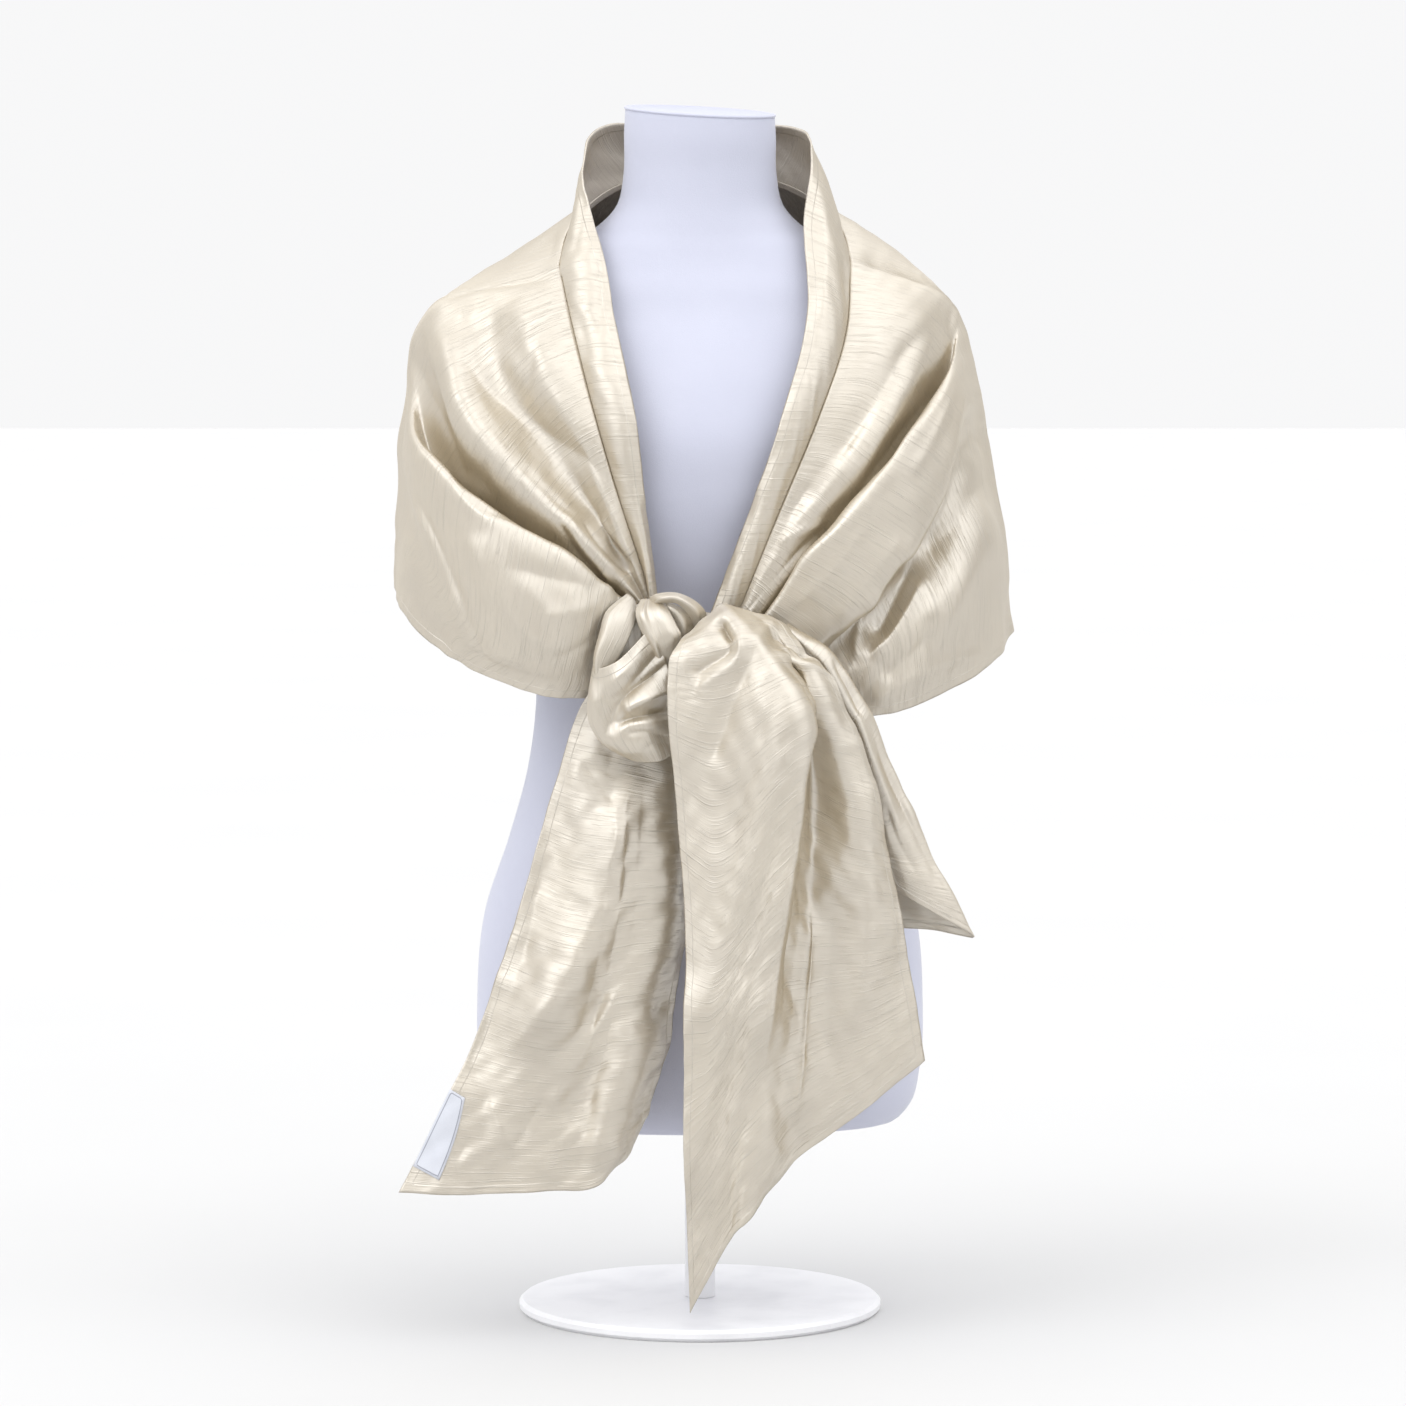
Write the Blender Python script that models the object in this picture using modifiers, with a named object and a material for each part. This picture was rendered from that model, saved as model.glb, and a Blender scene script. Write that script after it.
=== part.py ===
"""An ivory silk evening stole, tied in front in a one-loop bow, on a plain limbless dress form.

Metres, +Z up, the front towards -Y and the viewer's right at +X. The origin is the middle of the base's underside.
"""

import bmesh
import bpy
import numpy as np

# Walls and gaps
SILK = 0.0014
BAND_SILK = 0.0016
SEAM_GAP = 0.0003
FORM_CLEARANCE = 0.0008
# How far each piece's middle is set in front of the cloth it rests on; steep cloth needs less
REST_TAIL_LEFT = 0.0003
REST_TAIL_RIGHT = 0.0014
REST_LOOP = 0.0017
REST_STRAP_LOW = 0.0009
REST_STRAP_TOP = 0.0004
REST_TAIL_FRONT = 0.0004
FRONT_CELL = 0.001

# Dress form and its stand
BASE_RADIUS = 0.150
BASE_THICKNESS = 0.010
BASE_EDGE = 0.003
POLE_RADIUS = 0.0125
FORM_BOTTOM = 0.156
NECK_TOP = 0.990
NECK_DISH = 0.005
NECK_SLANT = 0.11
NECK_TILT = -0.055
RING_POINTS = 40
RING_COUNT = 32

# Sections of the form: height, half width, depth in front, depth behind, squareness
FORM_SECTIONS = (
    (0.156, 0.142, 0.074, 0.080, 2.2),
    (0.160, 0.162, 0.088, 0.094, 2.3),
    (0.173, 0.174, 0.098, 0.106, 2.3),
    (0.205, 0.182, 0.104, 0.116, 2.3),
    (0.260, 0.184, 0.106, 0.121, 2.3),
    (0.330, 0.178, 0.102, 0.117, 2.3),
    (0.395, 0.157, 0.094, 0.101, 2.2),
    (0.450, 0.142, 0.087, 0.086, 2.2),
    (0.505, 0.135, 0.084, 0.076, 2.2),
    (0.565, 0.137, 0.090, 0.078, 2.2),
    (0.625, 0.143, 0.105, 0.084, 2.2),
    (0.680, 0.157, 0.120, 0.089, 2.2),
    (0.720, 0.168, 0.124, 0.092, 2.2),
    (0.760, 0.184, 0.112, 0.094, 2.3),
    (0.799, 0.201, 0.093, 0.093, 2.3),
    (0.8227, 0.2015, 0.080, 0.0885, 2.2),
    (0.8417, 0.188, 0.072, 0.082, 2.2),
    (0.859, 0.161, 0.064, 0.077, 2.1),
    (0.8765, 0.1235, 0.058, 0.070, 2.0),
    (0.8925, 0.087, 0.054, 0.063, 2.0),
    (0.912, 0.068, 0.051, 0.055, 2.0),
    (0.938, 0.0625, 0.050, 0.050, 2.0),
    (0.970, 0.062, 0.052, 0.048, 2.0),
    (0.988, 0.061, 0.051, 0.047, 2.0),
)

# The wrap's lines, each from the knot round to the shoulder seam: where it passes the knot, near it, the chest,
# the front of the arm and the seam. The names say what each line is, in order from the neck to the hem.
LEFT_LINES = (
    ("neck seam", (-0.040, -0.127, 0.600), (-0.062, -0.133, 0.667), (-0.082, -0.130, 0.735),
     (-0.102, -0.093, 0.811), (-0.114, -0.054, 0.862)),
    ("panel ridge", (-0.042, -0.131, 0.598), (-0.069, -0.138, 0.662), (-0.098, -0.133, 0.727),
     (-0.132, -0.103, 0.799), (-0.144, -0.047, 0.853)),
    ("soft valley", (-0.045, -0.128, 0.596), (-0.076, -0.129, 0.652), (-0.118, -0.119, 0.711),
     (-0.160, -0.092, 0.772), (-0.176, -0.036, 0.846)),
    ("panel fold", (-0.048, -0.136, 0.594), (-0.088, -0.152, 0.640), (-0.138, -0.143, 0.684),
     (-0.188, -0.113, 0.744), (-0.210, -0.026, 0.836)),
    ("valley root", (-0.052, -0.126, 0.588), (-0.094, -0.127, 0.612), (-0.152, -0.113, 0.645),
     (-0.212, -0.077, 0.700), (-0.235, -0.016, 0.802)),
    ("flap lip", (-0.054, -0.140, 0.590), (-0.092, -0.159, 0.622), (-0.153, -0.152, 0.660),
     (-0.220, -0.102, 0.712), (-0.242, -0.012, 0.755)),
    ("flap middle", (-0.058, -0.142, 0.568), (-0.100, -0.170, 0.588), (-0.160, -0.160, 0.616),
     (-0.226, -0.098, 0.672), (-0.246, -0.010, 0.722)),
    ("flap crease", (-0.062, -0.138, 0.545), (-0.110, -0.163, 0.545), (-0.170, -0.148, 0.560),
     (-0.219, -0.104, 0.630), (-0.247, -0.008, 0.690)),
    ("back layer", (-0.063, -0.135, 0.531), (-0.114, -0.156, 0.531), (-0.182, -0.129, 0.553),
     (-0.232, -0.077, 0.613), (-0.250, -0.004, 0.650)),
    ("hem", (-0.065, -0.132, 0.518), (-0.122, -0.150, 0.520), (-0.192, -0.114, 0.544),
     (-0.238, -0.060, 0.576), (-0.251, 0.004, 0.602)),
)
RIGHT_LINES = (
    ("neck seam", (0.034, -0.128, 0.592), (0.064, -0.134, 0.667), (0.094, -0.126, 0.739),
     (0.118, -0.090, 0.811), (0.122, -0.046, 0.866)),
    ("panel ridge", (0.038, -0.133, 0.588), (0.079, -0.140, 0.661), (0.120, -0.124, 0.737),
     (0.144, -0.090, 0.811), (0.152, -0.040, 0.860)),
    ("panel fold", (0.043, -0.134, 0.583), (0.089, -0.141, 0.653), (0.138, -0.126, 0.725),
     (0.172, -0.083, 0.801), (0.182, -0.031, 0.849)),
    ("slit root", (0.050, -0.124, 0.575), (0.101, -0.122, 0.634), (0.157, -0.101, 0.697),
     (0.200, -0.052, 0.768), (0.207, -0.021, 0.831)),
    ("flap lip", (0.050, -0.140, 0.580), (0.092, -0.151, 0.640), (0.147, -0.136, 0.703),
     (0.196, -0.080, 0.770), (0.217, -0.014, 0.809)),
    ("flap middle", (0.068, -0.141, 0.566), (0.119, -0.152, 0.627), (0.171, -0.132, 0.690),
     (0.206, -0.080, 0.757), (0.224, -0.011, 0.783)),
    ("flap crease", (0.084, -0.133, 0.551), (0.144, -0.139, 0.608), (0.190, -0.115, 0.671),
     (0.213, -0.074, 0.742), (0.230, -0.010, 0.755)),
    ("flap back", (0.082, -0.115, 0.540), (0.132, -0.112, 0.590), (0.176, -0.087, 0.648),
     (0.210, -0.056, 0.722), (0.236, -0.008, 0.717)),
    ("back layer", (0.096, -0.117, 0.523), (0.146, -0.128, 0.551), (0.195, -0.111, 0.594),
     (0.233, -0.060, 0.652), (0.249, -0.004, 0.650)),
    ("hem", (0.106, -0.115, 0.503), (0.148, -0.119, 0.503), (0.192, -0.098, 0.517),
     (0.241, -0.052, 0.543), (0.257, 0.002, 0.563)),
)
# The same ten lines where they cross the middle of the back: depth behind the axis and height
BACK_DEPTH = (0.078, 0.086, 0.095, 0.103, 0.110, 0.118, 0.127, 0.137, 0.149, 0.163)
BACK_HEIGHT = (0.941, 0.906, 0.872, 0.836, 0.799, 0.760, 0.719, 0.676, 0.632, 0.585)
SHOULDER_LIFT = (0.000, 0.0105, 0.0134, 0.0085, 0.002, 0.000, 0.000, 0.000, 0.000, 0.000)
BACK_SQUARENESS = 0.82

# The free edge of the neck band at the same places as the neck seam, then over the shoulders and the back
BAND_LEFT = ((-0.034, -0.130, 0.596), (-0.043, -0.131, 0.667), (-0.050, -0.141, 0.735),
             (-0.067, -0.101, 0.811), (-0.078, -0.064, 0.872))
BAND_RIGHT = ((0.010, -0.129, 0.589), (0.040, -0.132, 0.667), (0.064, -0.137, 0.739),
              (0.086, -0.094, 0.826), (0.084, -0.044, 0.902))
BAND_BACK = ((-0.095, -0.012, 0.936), (-0.080, 0.036, 0.978), (0.000, 0.070, 0.976),
             (0.072, 0.040, 0.978), (0.091, -0.001, 0.958))
BAND_BULGE = 0.006
BAND_STEP = 0.0024

# The hidden middle of the knot: centre and radii
KNOT_CENTRE = (-0.003, -0.1330, 0.557)
KNOT_RADII = (0.031, 0.0245, 0.031)

# The tails' lines, each from the knot down to the hem
TAIL_FRONT = (
    ("left edge", (-0.006, -0.158, 0.570), (-0.023, -0.186, 0.558), (-0.025, -0.193, 0.520),
     (-0.018, -0.188, 0.439), (-0.009, -0.178, 0.317), (-0.012, -0.169, 0.173), (-0.008, -0.160, 0.026)),
    ("left panel", (0.006, -0.160, 0.579), (0.000, -0.192, 0.561), (0.008, -0.200, 0.510),
     (0.014, -0.194, 0.422), (0.016, -0.183, 0.309), (0.011, -0.173, 0.197), (0.018, -0.163, 0.075)),
    ("fold crest", (0.022, -0.162, 0.588), (0.042, -0.196, 0.571), (0.066, -0.207, 0.534),
     (0.081, -0.206, 0.485), (0.078, -0.197, 0.389), (0.062, -0.185, 0.269), (0.046, -0.170, 0.113)),
    ("fold root", (0.034, -0.156, 0.585), (0.055, -0.184, 0.569), (0.076, -0.190, 0.531),
     (0.086, -0.182, 0.476), (0.086, -0.175, 0.384), (0.079, -0.168, 0.273), (0.070, -0.160, 0.144)),
    ("right panel", (0.046, -0.156, 0.582), (0.070, -0.182, 0.566), (0.094, -0.189, 0.525),
     (0.113, -0.188, 0.461), (0.127, -0.181, 0.373), (0.131, -0.172, 0.285), (0.129, -0.163, 0.189)),
    ("right edge", (0.057, -0.152, 0.578), (0.086, -0.174, 0.560), (0.109, -0.179, 0.514),
     (0.134, -0.176, 0.449), (0.155, -0.168, 0.366), (0.168, -0.161, 0.297), (0.179, -0.154, 0.229)),
)
TAIL_LEFT = (
    ("left edge", (-0.062, -0.156, 0.551), (-0.094, -0.150, 0.513), (-0.117, -0.148, 0.444),
     (-0.138, -0.149, 0.368), (-0.165, -0.150, 0.288), (-0.199, -0.151, 0.204), (-0.241, -0.152, 0.122)),
    ("left panel", (-0.053, -0.157, 0.555), (-0.075, -0.154, 0.511), (-0.088, -0.158, 0.436),
     (-0.100, -0.160, 0.356), (-0.120, -0.161, 0.276), (-0.148, -0.160, 0.196), (-0.183, -0.158, 0.121)),
    ("middle", (-0.042, -0.157, 0.556), (-0.053, -0.153, 0.504), (-0.056, -0.154, 0.432),
     (-0.062, -0.155, 0.356), (-0.077, -0.155, 0.276), (-0.098, -0.155, 0.196), (-0.124, -0.155, 0.124)),
    ("right panel", (-0.030, -0.156, 0.553), (-0.032, -0.152, 0.496), (-0.026, -0.156, 0.428),
     (-0.028, -0.158, 0.360), (-0.043, -0.159, 0.284), (-0.061, -0.158, 0.208), (-0.080, -0.156, 0.129)),
    ("right edge", (-0.020, -0.154, 0.547), (-0.014, -0.146, 0.486), (-0.006, -0.140, 0.428),
     (-0.010, -0.138, 0.360), (-0.021, -0.138, 0.288), (-0.040, -0.139, 0.212), (-0.058, -0.141, 0.164)),
)
TAIL_RIGHT = (
    ("front edge", (0.060, -0.142, 0.570), (0.088, -0.154, 0.543), (0.115, -0.154, 0.476),
     (0.135, -0.147, 0.412), (0.153, -0.141, 0.368)),
    ("front layer", (0.066, -0.145, 0.575), (0.097, -0.160, 0.550), (0.126, -0.160, 0.488),
     (0.154, -0.152, 0.412), (0.185, -0.144, 0.348)),
    ("outer fold", (0.070, -0.138, 0.577), (0.103, -0.150, 0.556), (0.136, -0.148, 0.504),
     (0.172, -0.141, 0.424), (0.219, -0.132, 0.327)),
    ("back layer", (0.067, -0.132, 0.573), (0.098, -0.137, 0.545), (0.127, -0.133, 0.484),
     (0.154, -0.127, 0.411), (0.187, -0.121, 0.331)),
    ("back edge", (0.062, -0.130, 0.569), (0.090, -0.134, 0.538), (0.115, -0.128, 0.474),
     (0.133, -0.122, 0.408), (0.153, -0.117, 0.333)),
)
# The loop's lines, each from the knot behind, out to the turn and back to the knot in front
LOOP = (
    ("mouth", (-0.047, -0.152, 0.594), (-0.067, -0.162, 0.583), (-0.084, -0.173, 0.545),
     (-0.066, -0.184, 0.549), (-0.043, -0.174, 0.571)),
    ("upper", (-0.043, -0.160, 0.574), (-0.063, -0.164, 0.560), (-0.087, -0.175, 0.521),
     (-0.056, -0.192, 0.527), (-0.026, -0.176, 0.550)),
    ("middle", (-0.040, -0.162, 0.551), (-0.057, -0.164, 0.532), (-0.087, -0.176, 0.501),
     (-0.048, -0.194, 0.505), (-0.022, -0.178, 0.526)),
    ("lower", (-0.035, -0.162, 0.523), (-0.049, -0.164, 0.507), (-0.076, -0.175, 0.484),
     (-0.042, -0.190, 0.487), (-0.019, -0.177, 0.503)),
    ("underside", (-0.030, -0.161, 0.503), (-0.042, -0.164, 0.490), (-0.055, -0.173, 0.472),
     (-0.034, -0.181, 0.470), (-0.015, -0.176, 0.480)),
)
# The straps that wind over the knot, by their edges and middles
STRAP_LOW = (
    ("left edge", (-0.048, -0.168, 0.588), (-0.052, -0.183, 0.574), (-0.043, -0.188, 0.556),
     (-0.030, -0.178, 0.542)),
    ("middle", (-0.038, -0.170, 0.590), (-0.038, -0.188, 0.573), (-0.032, -0.190, 0.561),
     (-0.022, -0.180, 0.549)),
    ("right edge", (-0.030, -0.166, 0.589), (-0.024, -0.180, 0.578), (-0.019, -0.182, 0.566),
     (-0.015, -0.174, 0.556)),
)
STRAP_TOP = (
    ("upper edge", (-0.042, -0.160, 0.597), (-0.030, -0.164, 0.601), (-0.012, -0.162, 0.597),
     (0.003, -0.149, 0.584)),
    ("middle", (-0.037, -0.174, 0.591), (-0.027, -0.178, 0.593), (-0.013, -0.172, 0.586),
     (-0.002, -0.152, 0.574)),
    ("lower edge", (-0.031, -0.176, 0.584), (-0.024, -0.180, 0.584), (-0.014, -0.172, 0.577),
     (-0.007, -0.153, 0.566)),
)
# The blank sewn label's corners on the left tail, in the front view: across and height
LABEL = (((-0.199, 0.2025), (-0.2285, 0.143)), ((-0.1875, 0.196), (-0.209, 0.132)))
LABEL_WALL = 0.0006

# Points along and across each piece of cloth
FRONT_POINTS = (16, 27)
BACK_POINTS = (15, 18)
BAND_POINTS = 4
TAIL_FRONT_POINTS = (22, 13)
TAIL_LEFT_POINTS = (20, 12)
TAIL_RIGHT_POINTS = (13, 12)
LOOP_POINTS = (17, 13)
STRAP_POINTS = (10, 7)
LABEL_POINTS = (5, 3)


def smooth_curve(rows, at, knots=None):
    """A smooth curve through rows, read at places between 0 and 1. Rows sit at the knots, or evenly spaced."""
    rows = np.asarray(rows, float)
    knots = np.linspace(0, 1, len(rows)) if knots is None else np.asarray(knots, float)
    shape = (-1,) + (1,) * (rows.ndim - 1)
    widths = np.diff(knots).reshape(shape)
    slopes = np.diff(rows, axis=0) / widths
    tangents = np.concatenate([slopes[:1], np.zeros_like(rows[2:]), slopes[-1:]])
    tangents[1:-1] = (slopes[:-1] * widths[1:] + slopes[1:] * widths[:-1]) / (widths[1:] + widths[:-1])
    at = np.clip(np.asarray(at, float), 0, 1)
    span = np.clip(np.searchsorted(knots, at, side="right") - 1, 0, len(rows) - 2)
    width = widths[span]
    t = ((at - knots[span]) / np.diff(knots)[span]).reshape(shape)
    return (
        rows[span] * (1 + 2 * t) * (1 - t) ** 2
        + rows[span + 1] * t * t * (3 - 2 * t)
        + tangents[span] * width * t * (1 - t) ** 2
        + tangents[span + 1] * width * t * t * (t - 1)
    )


def even_places(rows):
    """Knots in proportion to the mean distance from each row of points to the next."""
    steps = np.linalg.norm(np.diff(rows, axis=0), axis=-1)
    steps = steps.reshape(len(steps), -1).mean(1)
    return np.concatenate([[0], np.cumsum(steps)]) / steps.sum()


def surface(net, along, across):
    """A grid of points on the smooth surface through a net of control points."""
    net = np.asarray(net, float)
    rows = smooth_curve(net, along, even_places(net))
    columns = rows.transpose(1, 0, 2)
    return smooth_curve(columns, across, even_places(net.transpose(1, 0, 2))).transpose(1, 0, 2)


def form_table(count):
    """The form's sections read smoothly at count heights, evenly along its side."""
    table = np.array(FORM_SECTIONS)
    knots = even_places(table[:, None, :2])
    return smooth_curve(table, np.linspace(0, 1, count), knots)


def form_section(height, table=[]):
    """Half width, front depth, back depth and squareness of the form at each height."""
    if not table:
        table.append(form_table(240))
    rows = table[0]
    return [np.interp(height, rows[:, 0], rows[:, column]) for column in (1, 2, 3, 4)]


def form_level(x, y, z):
    """Below 1 inside the form, above 1 outside it."""
    half, front, back, power = form_section(z)
    depth = np.where(y < 0, front, back)
    return (np.abs(x) / half) ** power + (np.abs(y) / depth) ** power


def clear_of_form(points, gap):
    """Moves points that lie within gap of the form out of it: upwards on the shoulders, sideways below them."""
    x, y, z = (points[..., i].copy() for i in range(3))
    shoulder_start = 0.80
    heights = np.linspace(shoulder_start, 0.93, 131)
    inward = 1 - gap / np.maximum(np.hypot(x, y), 0.03)
    filled = form_level((x * inward)[..., None], (y * inward)[..., None], heights) < 1
    top = np.where(filled, heights, 0).max(-1)
    low = (top > 0) & (z > shoulder_start) & (z < top + gap)
    z = np.where(low, top + gap, z)
    half, front, back, power = form_section(z)
    depth = np.where(y < 0, front, back) + gap
    level = ((np.abs(x) / (half + gap)) ** power + (np.abs(y) / depth) ** power) ** (1 / power)
    push = np.where((level < 1) & ~low, 1 / np.maximum(level, 0.2), 1)
    return np.stack([x * push, y * push, z], axis=-1)


def finer(grid, parts):
    """The grid with each quad cut into parts by parts."""
    for axis in (0, 1):
        count = grid.shape[axis]
        places = np.linspace(0, count - 1, parts * (count - 1) + 1)
        low = np.minimum(places.astype(int), count - 2)
        shape = (-1, 1, 1) if axis == 0 else (1, -1, 1)
        share = (places - low).reshape(shape)
        grid = np.take(grid, low, axis) * (1 - share) + np.take(grid, low + 1, axis) * share
    return grid


def foremost(laid, reach=1):
    """The foremost depth of the laid cloth in each cell of the front view, spread by reach cells."""
    depth = np.full((700, 1040), 1.0)
    for grid in laid:
        points = finer(grid, 24).reshape(-1, 3)
        np.minimum.at(depth, (cell_of(points[:, 0] + 0.35), cell_of(points[:, 2])), points[:, 1])
    for axis in (0, 1):
        for _ in range(reach):
            depth = np.minimum(depth, np.minimum(np.roll(depth, 1, axis), np.roll(depth, -1, axis)))
    return depth


def cell_of(length):
    return np.clip((length / FRONT_CELL).astype(int), 0, None)


def in_front_of(grid, laid, gap, whole=False, ease=8):
    """Rests a grid on the front of the cloth laid before it, the gap away, and eases any push out over the grid.

    A piece that folds back behind itself moves as a whole, so that its layers stay apart.
    """
    parts = 16
    depth = foremost(laid)
    points = finer(grid, parts)
    laid_depth = depth[cell_of(points[..., 0] + 0.35), cell_of(points[..., 2])]
    needed = np.where(laid_depth > 0.9, -1, points[..., 1] - (laid_depth - gap))
    slack = min(needed.max(), 0)
    needed = np.maximum(needed, 0)
    push = np.zeros(grid.shape[:2])
    for i in range(grid.shape[0]):
        for j in range(grid.shape[1]):
            rows = slice(max((i - 1) * parts, 0), (i + 1) * parts + 1)
            columns = slice(max((j - 1) * parts, 0), (j + 1) * parts + 1)
            push[i, j] = needed[rows, columns].max()
    for _ in range(ease):
        wide = np.pad(push, 1, mode="edge")
        mean = (wide[:-2, 1:-1] + wide[2:, 1:-1] + wide[1:-1, :-2] + wide[1:-1, 2:]) / 4
        push = np.maximum(push, mean)
    moved = grid.copy()
    moved[..., 1] -= slack + (push.max() if whole else push)
    return moved


def new_object(name, mesh, material, collection):
    made = bpy.data.objects.new(name, mesh)
    collection.objects.link(made)
    mesh.materials.append(material)
    mesh.shade_smooth()
    mesh.set_sharp_from_angle(angle=np.radians(50))
    return made


def cloth(name, grid, material, collection, thickness=SILK):
    """A wall of cloth: the open grid of points given thickness by Solidify."""
    rows, columns = grid.shape[:2]
    shape = bmesh.new()
    points = [shape.verts.new(point) for point in grid.reshape(-1, 3)]
    for i in range(rows - 1):
        for j in range(columns - 1):
            corner = i * columns + j
            shape.faces.new([points[corner + k] for k in (0, columns, columns + 1, 1)])
    mesh = bpy.data.meshes.new(name)
    shape.to_mesh(mesh)
    shape.free()
    made = new_object(name, mesh, material, collection)
    wall = made.modifiers.new("Wall", "SOLIDIFY")
    wall.thickness = thickness
    wall.offset = 0
    return made


def lofted(name, rings, material, collection):
    """A closed body through rings of points, capped flat at the first ring and at the last."""
    shape = bmesh.new()
    loops = [[shape.verts.new(point) for point in ring] for ring in rings]
    for low, high in zip(loops, loops[1:]):
        for i, point in enumerate(low):
            after = (i + 1) % len(low)
            shape.faces.new([point, low[after], high[after], high[i]])
    shape.faces.new(reversed(loops[0]))
    shape.faces.new(loops[-1])
    mesh = bpy.data.meshes.new(name)
    shape.to_mesh(mesh)
    shape.free()
    return new_object(name, mesh, material, collection)


def form_ring(height, half, front, back, power, shrink=1.0, drop=0.0):
    """One closed ring of the form; high rings slant forward, as the cut of the neck does."""
    turns = np.linspace(0, 2 * np.pi, RING_POINTS, endpoint=False)
    cosine, sine = np.cos(turns), np.sin(turns)
    x = half * shrink * np.sign(cosine) * np.abs(cosine) ** (2 / power)
    depth = np.where(sine < 0, front, back)
    y = depth * shrink * np.sign(sine) * np.abs(sine) ** (2 / power)
    cut = np.clip((height - 0.94) / (NECK_TOP - 0.94), 0, 1)
    slant = cut * (NECK_SLANT * y + NECK_TILT * x)
    return np.stack([x, y, height - drop + slant], axis=-1)


def dress_form(material, collection):
    """The whole torso and neck as one smooth body, with a shallow dish in the neck's slanted top."""
    rings = [form_ring(*section) for section in form_table(RING_COUNT)]
    rim = FORM_SECTIONS[-1]
    for shrink, drop in ((0.93, -0.002), (0.86, 0.000), (0.55, NECK_DISH)):
        rings.append(form_ring(*rim, shrink=shrink, drop=drop))
    return lofted("form_torso", rings, material, collection)


def stand(material, collection):
    """The round base and the pole between it and the form."""
    shape = bmesh.new()
    bmesh.ops.create_cone(shape, cap_ends=True, segments=48, radius1=BASE_RADIUS, radius2=BASE_RADIUS,
                          depth=BASE_THICKNESS)
    bmesh.ops.translate(shape, vec=(0, 0, BASE_THICKNESS / 2), verts=shape.verts)
    mesh = bpy.data.meshes.new("stand_base")
    shape.to_mesh(mesh)
    shape.free()
    base = new_object("stand_base", mesh, material, collection)
    edge = base.modifiers.new("Rounded edge", "BEVEL")
    edge.width = BASE_EDGE
    edge.segments = 1
    shape = bmesh.new()
    low, high = BASE_THICKNESS + SEAM_GAP, FORM_BOTTOM - SEAM_GAP
    bmesh.ops.create_cone(shape, cap_ends=True, segments=24, radius1=POLE_RADIUS, radius2=POLE_RADIUS,
                          depth=high - low)
    bmesh.ops.translate(shape, vec=(0, 0, (low + high) / 2), verts=shape.verts)
    mesh = bpy.data.meshes.new("stand_pole")
    shape.to_mesh(mesh)
    shape.free()
    new_object("stand_pole", mesh, material, collection)


def front_net(lines):
    """The control net of one front: its ribs from the knot to the shoulder seam, each from the neck to the hem."""
    return np.array([line[1:] for line in lines]).transpose(1, 0, 2)


def back_net(left_seam, right_seam, middles=7):
    """Ribs round the back, from one shoulder seam to the other."""
    ribs = [left_seam]
    for turn in np.linspace(0, np.pi, middles + 2)[1:-1]:
        cosine, sine = np.cos(turn), np.sin(turn)
        side = left_seam if cosine > 0 else right_seam
        share = abs(cosine) ** BACK_SQUARENESS
        centre_x = 0.0
        x = centre_x + side[:, 0] * share
        y = side[:, 1] * abs(cosine) + np.array(BACK_DEPTH) * sine
        z = side[:, 2] + (np.array(BACK_HEIGHT) - side[:, 2]) * sine
        z = z + np.array(SHOULDER_LIFT) * abs(np.sin(2 * turn))
        ribs.append(np.stack([x, y, z], axis=-1))
    ribs.append(right_seam)
    return np.array(ribs)


def band_grid(wrap_edges, places):
    """The stand-up band: from the wraps' neck edge to its own free edge, bulging a little outwards."""
    lower = np.concatenate([wrap_edges[0], wrap_edges[1][1:-1], wrap_edges[2][::-1]])
    at = np.concatenate([places[0], 1 + places[1][1:-1], 3 - places[2][::-1]]) / 3
    left, right = even_places(front_net(LEFT_LINES)), even_places(front_net(RIGHT_LINES))
    over = np.linspace(1 / 6, 5 / 6, 5)
    knots = np.concatenate([left, 1 + over, (3 - right)[::-1]]) / 3
    free = np.array(BAND_LEFT + BAND_BACK + BAND_RIGHT[::-1])
    upper = smooth_curve(free, at, knots)
    rise = upper - lower
    lower = lower + rise / np.linalg.norm(rise, axis=1)[:, None] * BAND_STEP
    along = np.gradient(lower, axis=0)
    outward = np.cross(rise, along)
    outward /= np.linalg.norm(outward, axis=1)[:, None]
    rows = []
    for share in np.linspace(0, 1, BAND_POINTS):
        rows.append(lower + (upper - lower) * share + outward * BAND_BULGE * np.sin(np.pi * share))
    return np.array(rows).transpose(1, 0, 2)


def piece(lines, points):
    """A grid from a table of lines: along the lines first, from the first line to the last across."""
    net = np.array([line[1:] for line in lines]).transpose(1, 0, 2)
    return surface(net, np.linspace(0, 1, points[0]), np.linspace(0, 1, points[1]))


def knot_core(material, collection):
    shape = bmesh.new()
    bmesh.ops.create_icosphere(shape, subdivisions=3, radius=1)
    bmesh.ops.scale(shape, vec=KNOT_RADII, verts=shape.verts)
    bmesh.ops.translate(shape, vec=KNOT_CENTRE, verts=shape.verts)
    mesh = bpy.data.meshes.new("knot_core")
    shape.to_mesh(mesh)
    shape.free()
    new_object("knot_core", mesh, material, collection)
    turns, heights = np.meshgrid(np.linspace(0, 2 * np.pi, 25), np.linspace(-1, 1, 13), indexing="ij")
    ring = np.sqrt(1 - heights**2)
    unit = np.stack([ring * np.cos(turns), ring * np.sin(turns), heights], axis=-1)
    return unit * KNOT_RADII + KNOT_CENTRE


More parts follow.
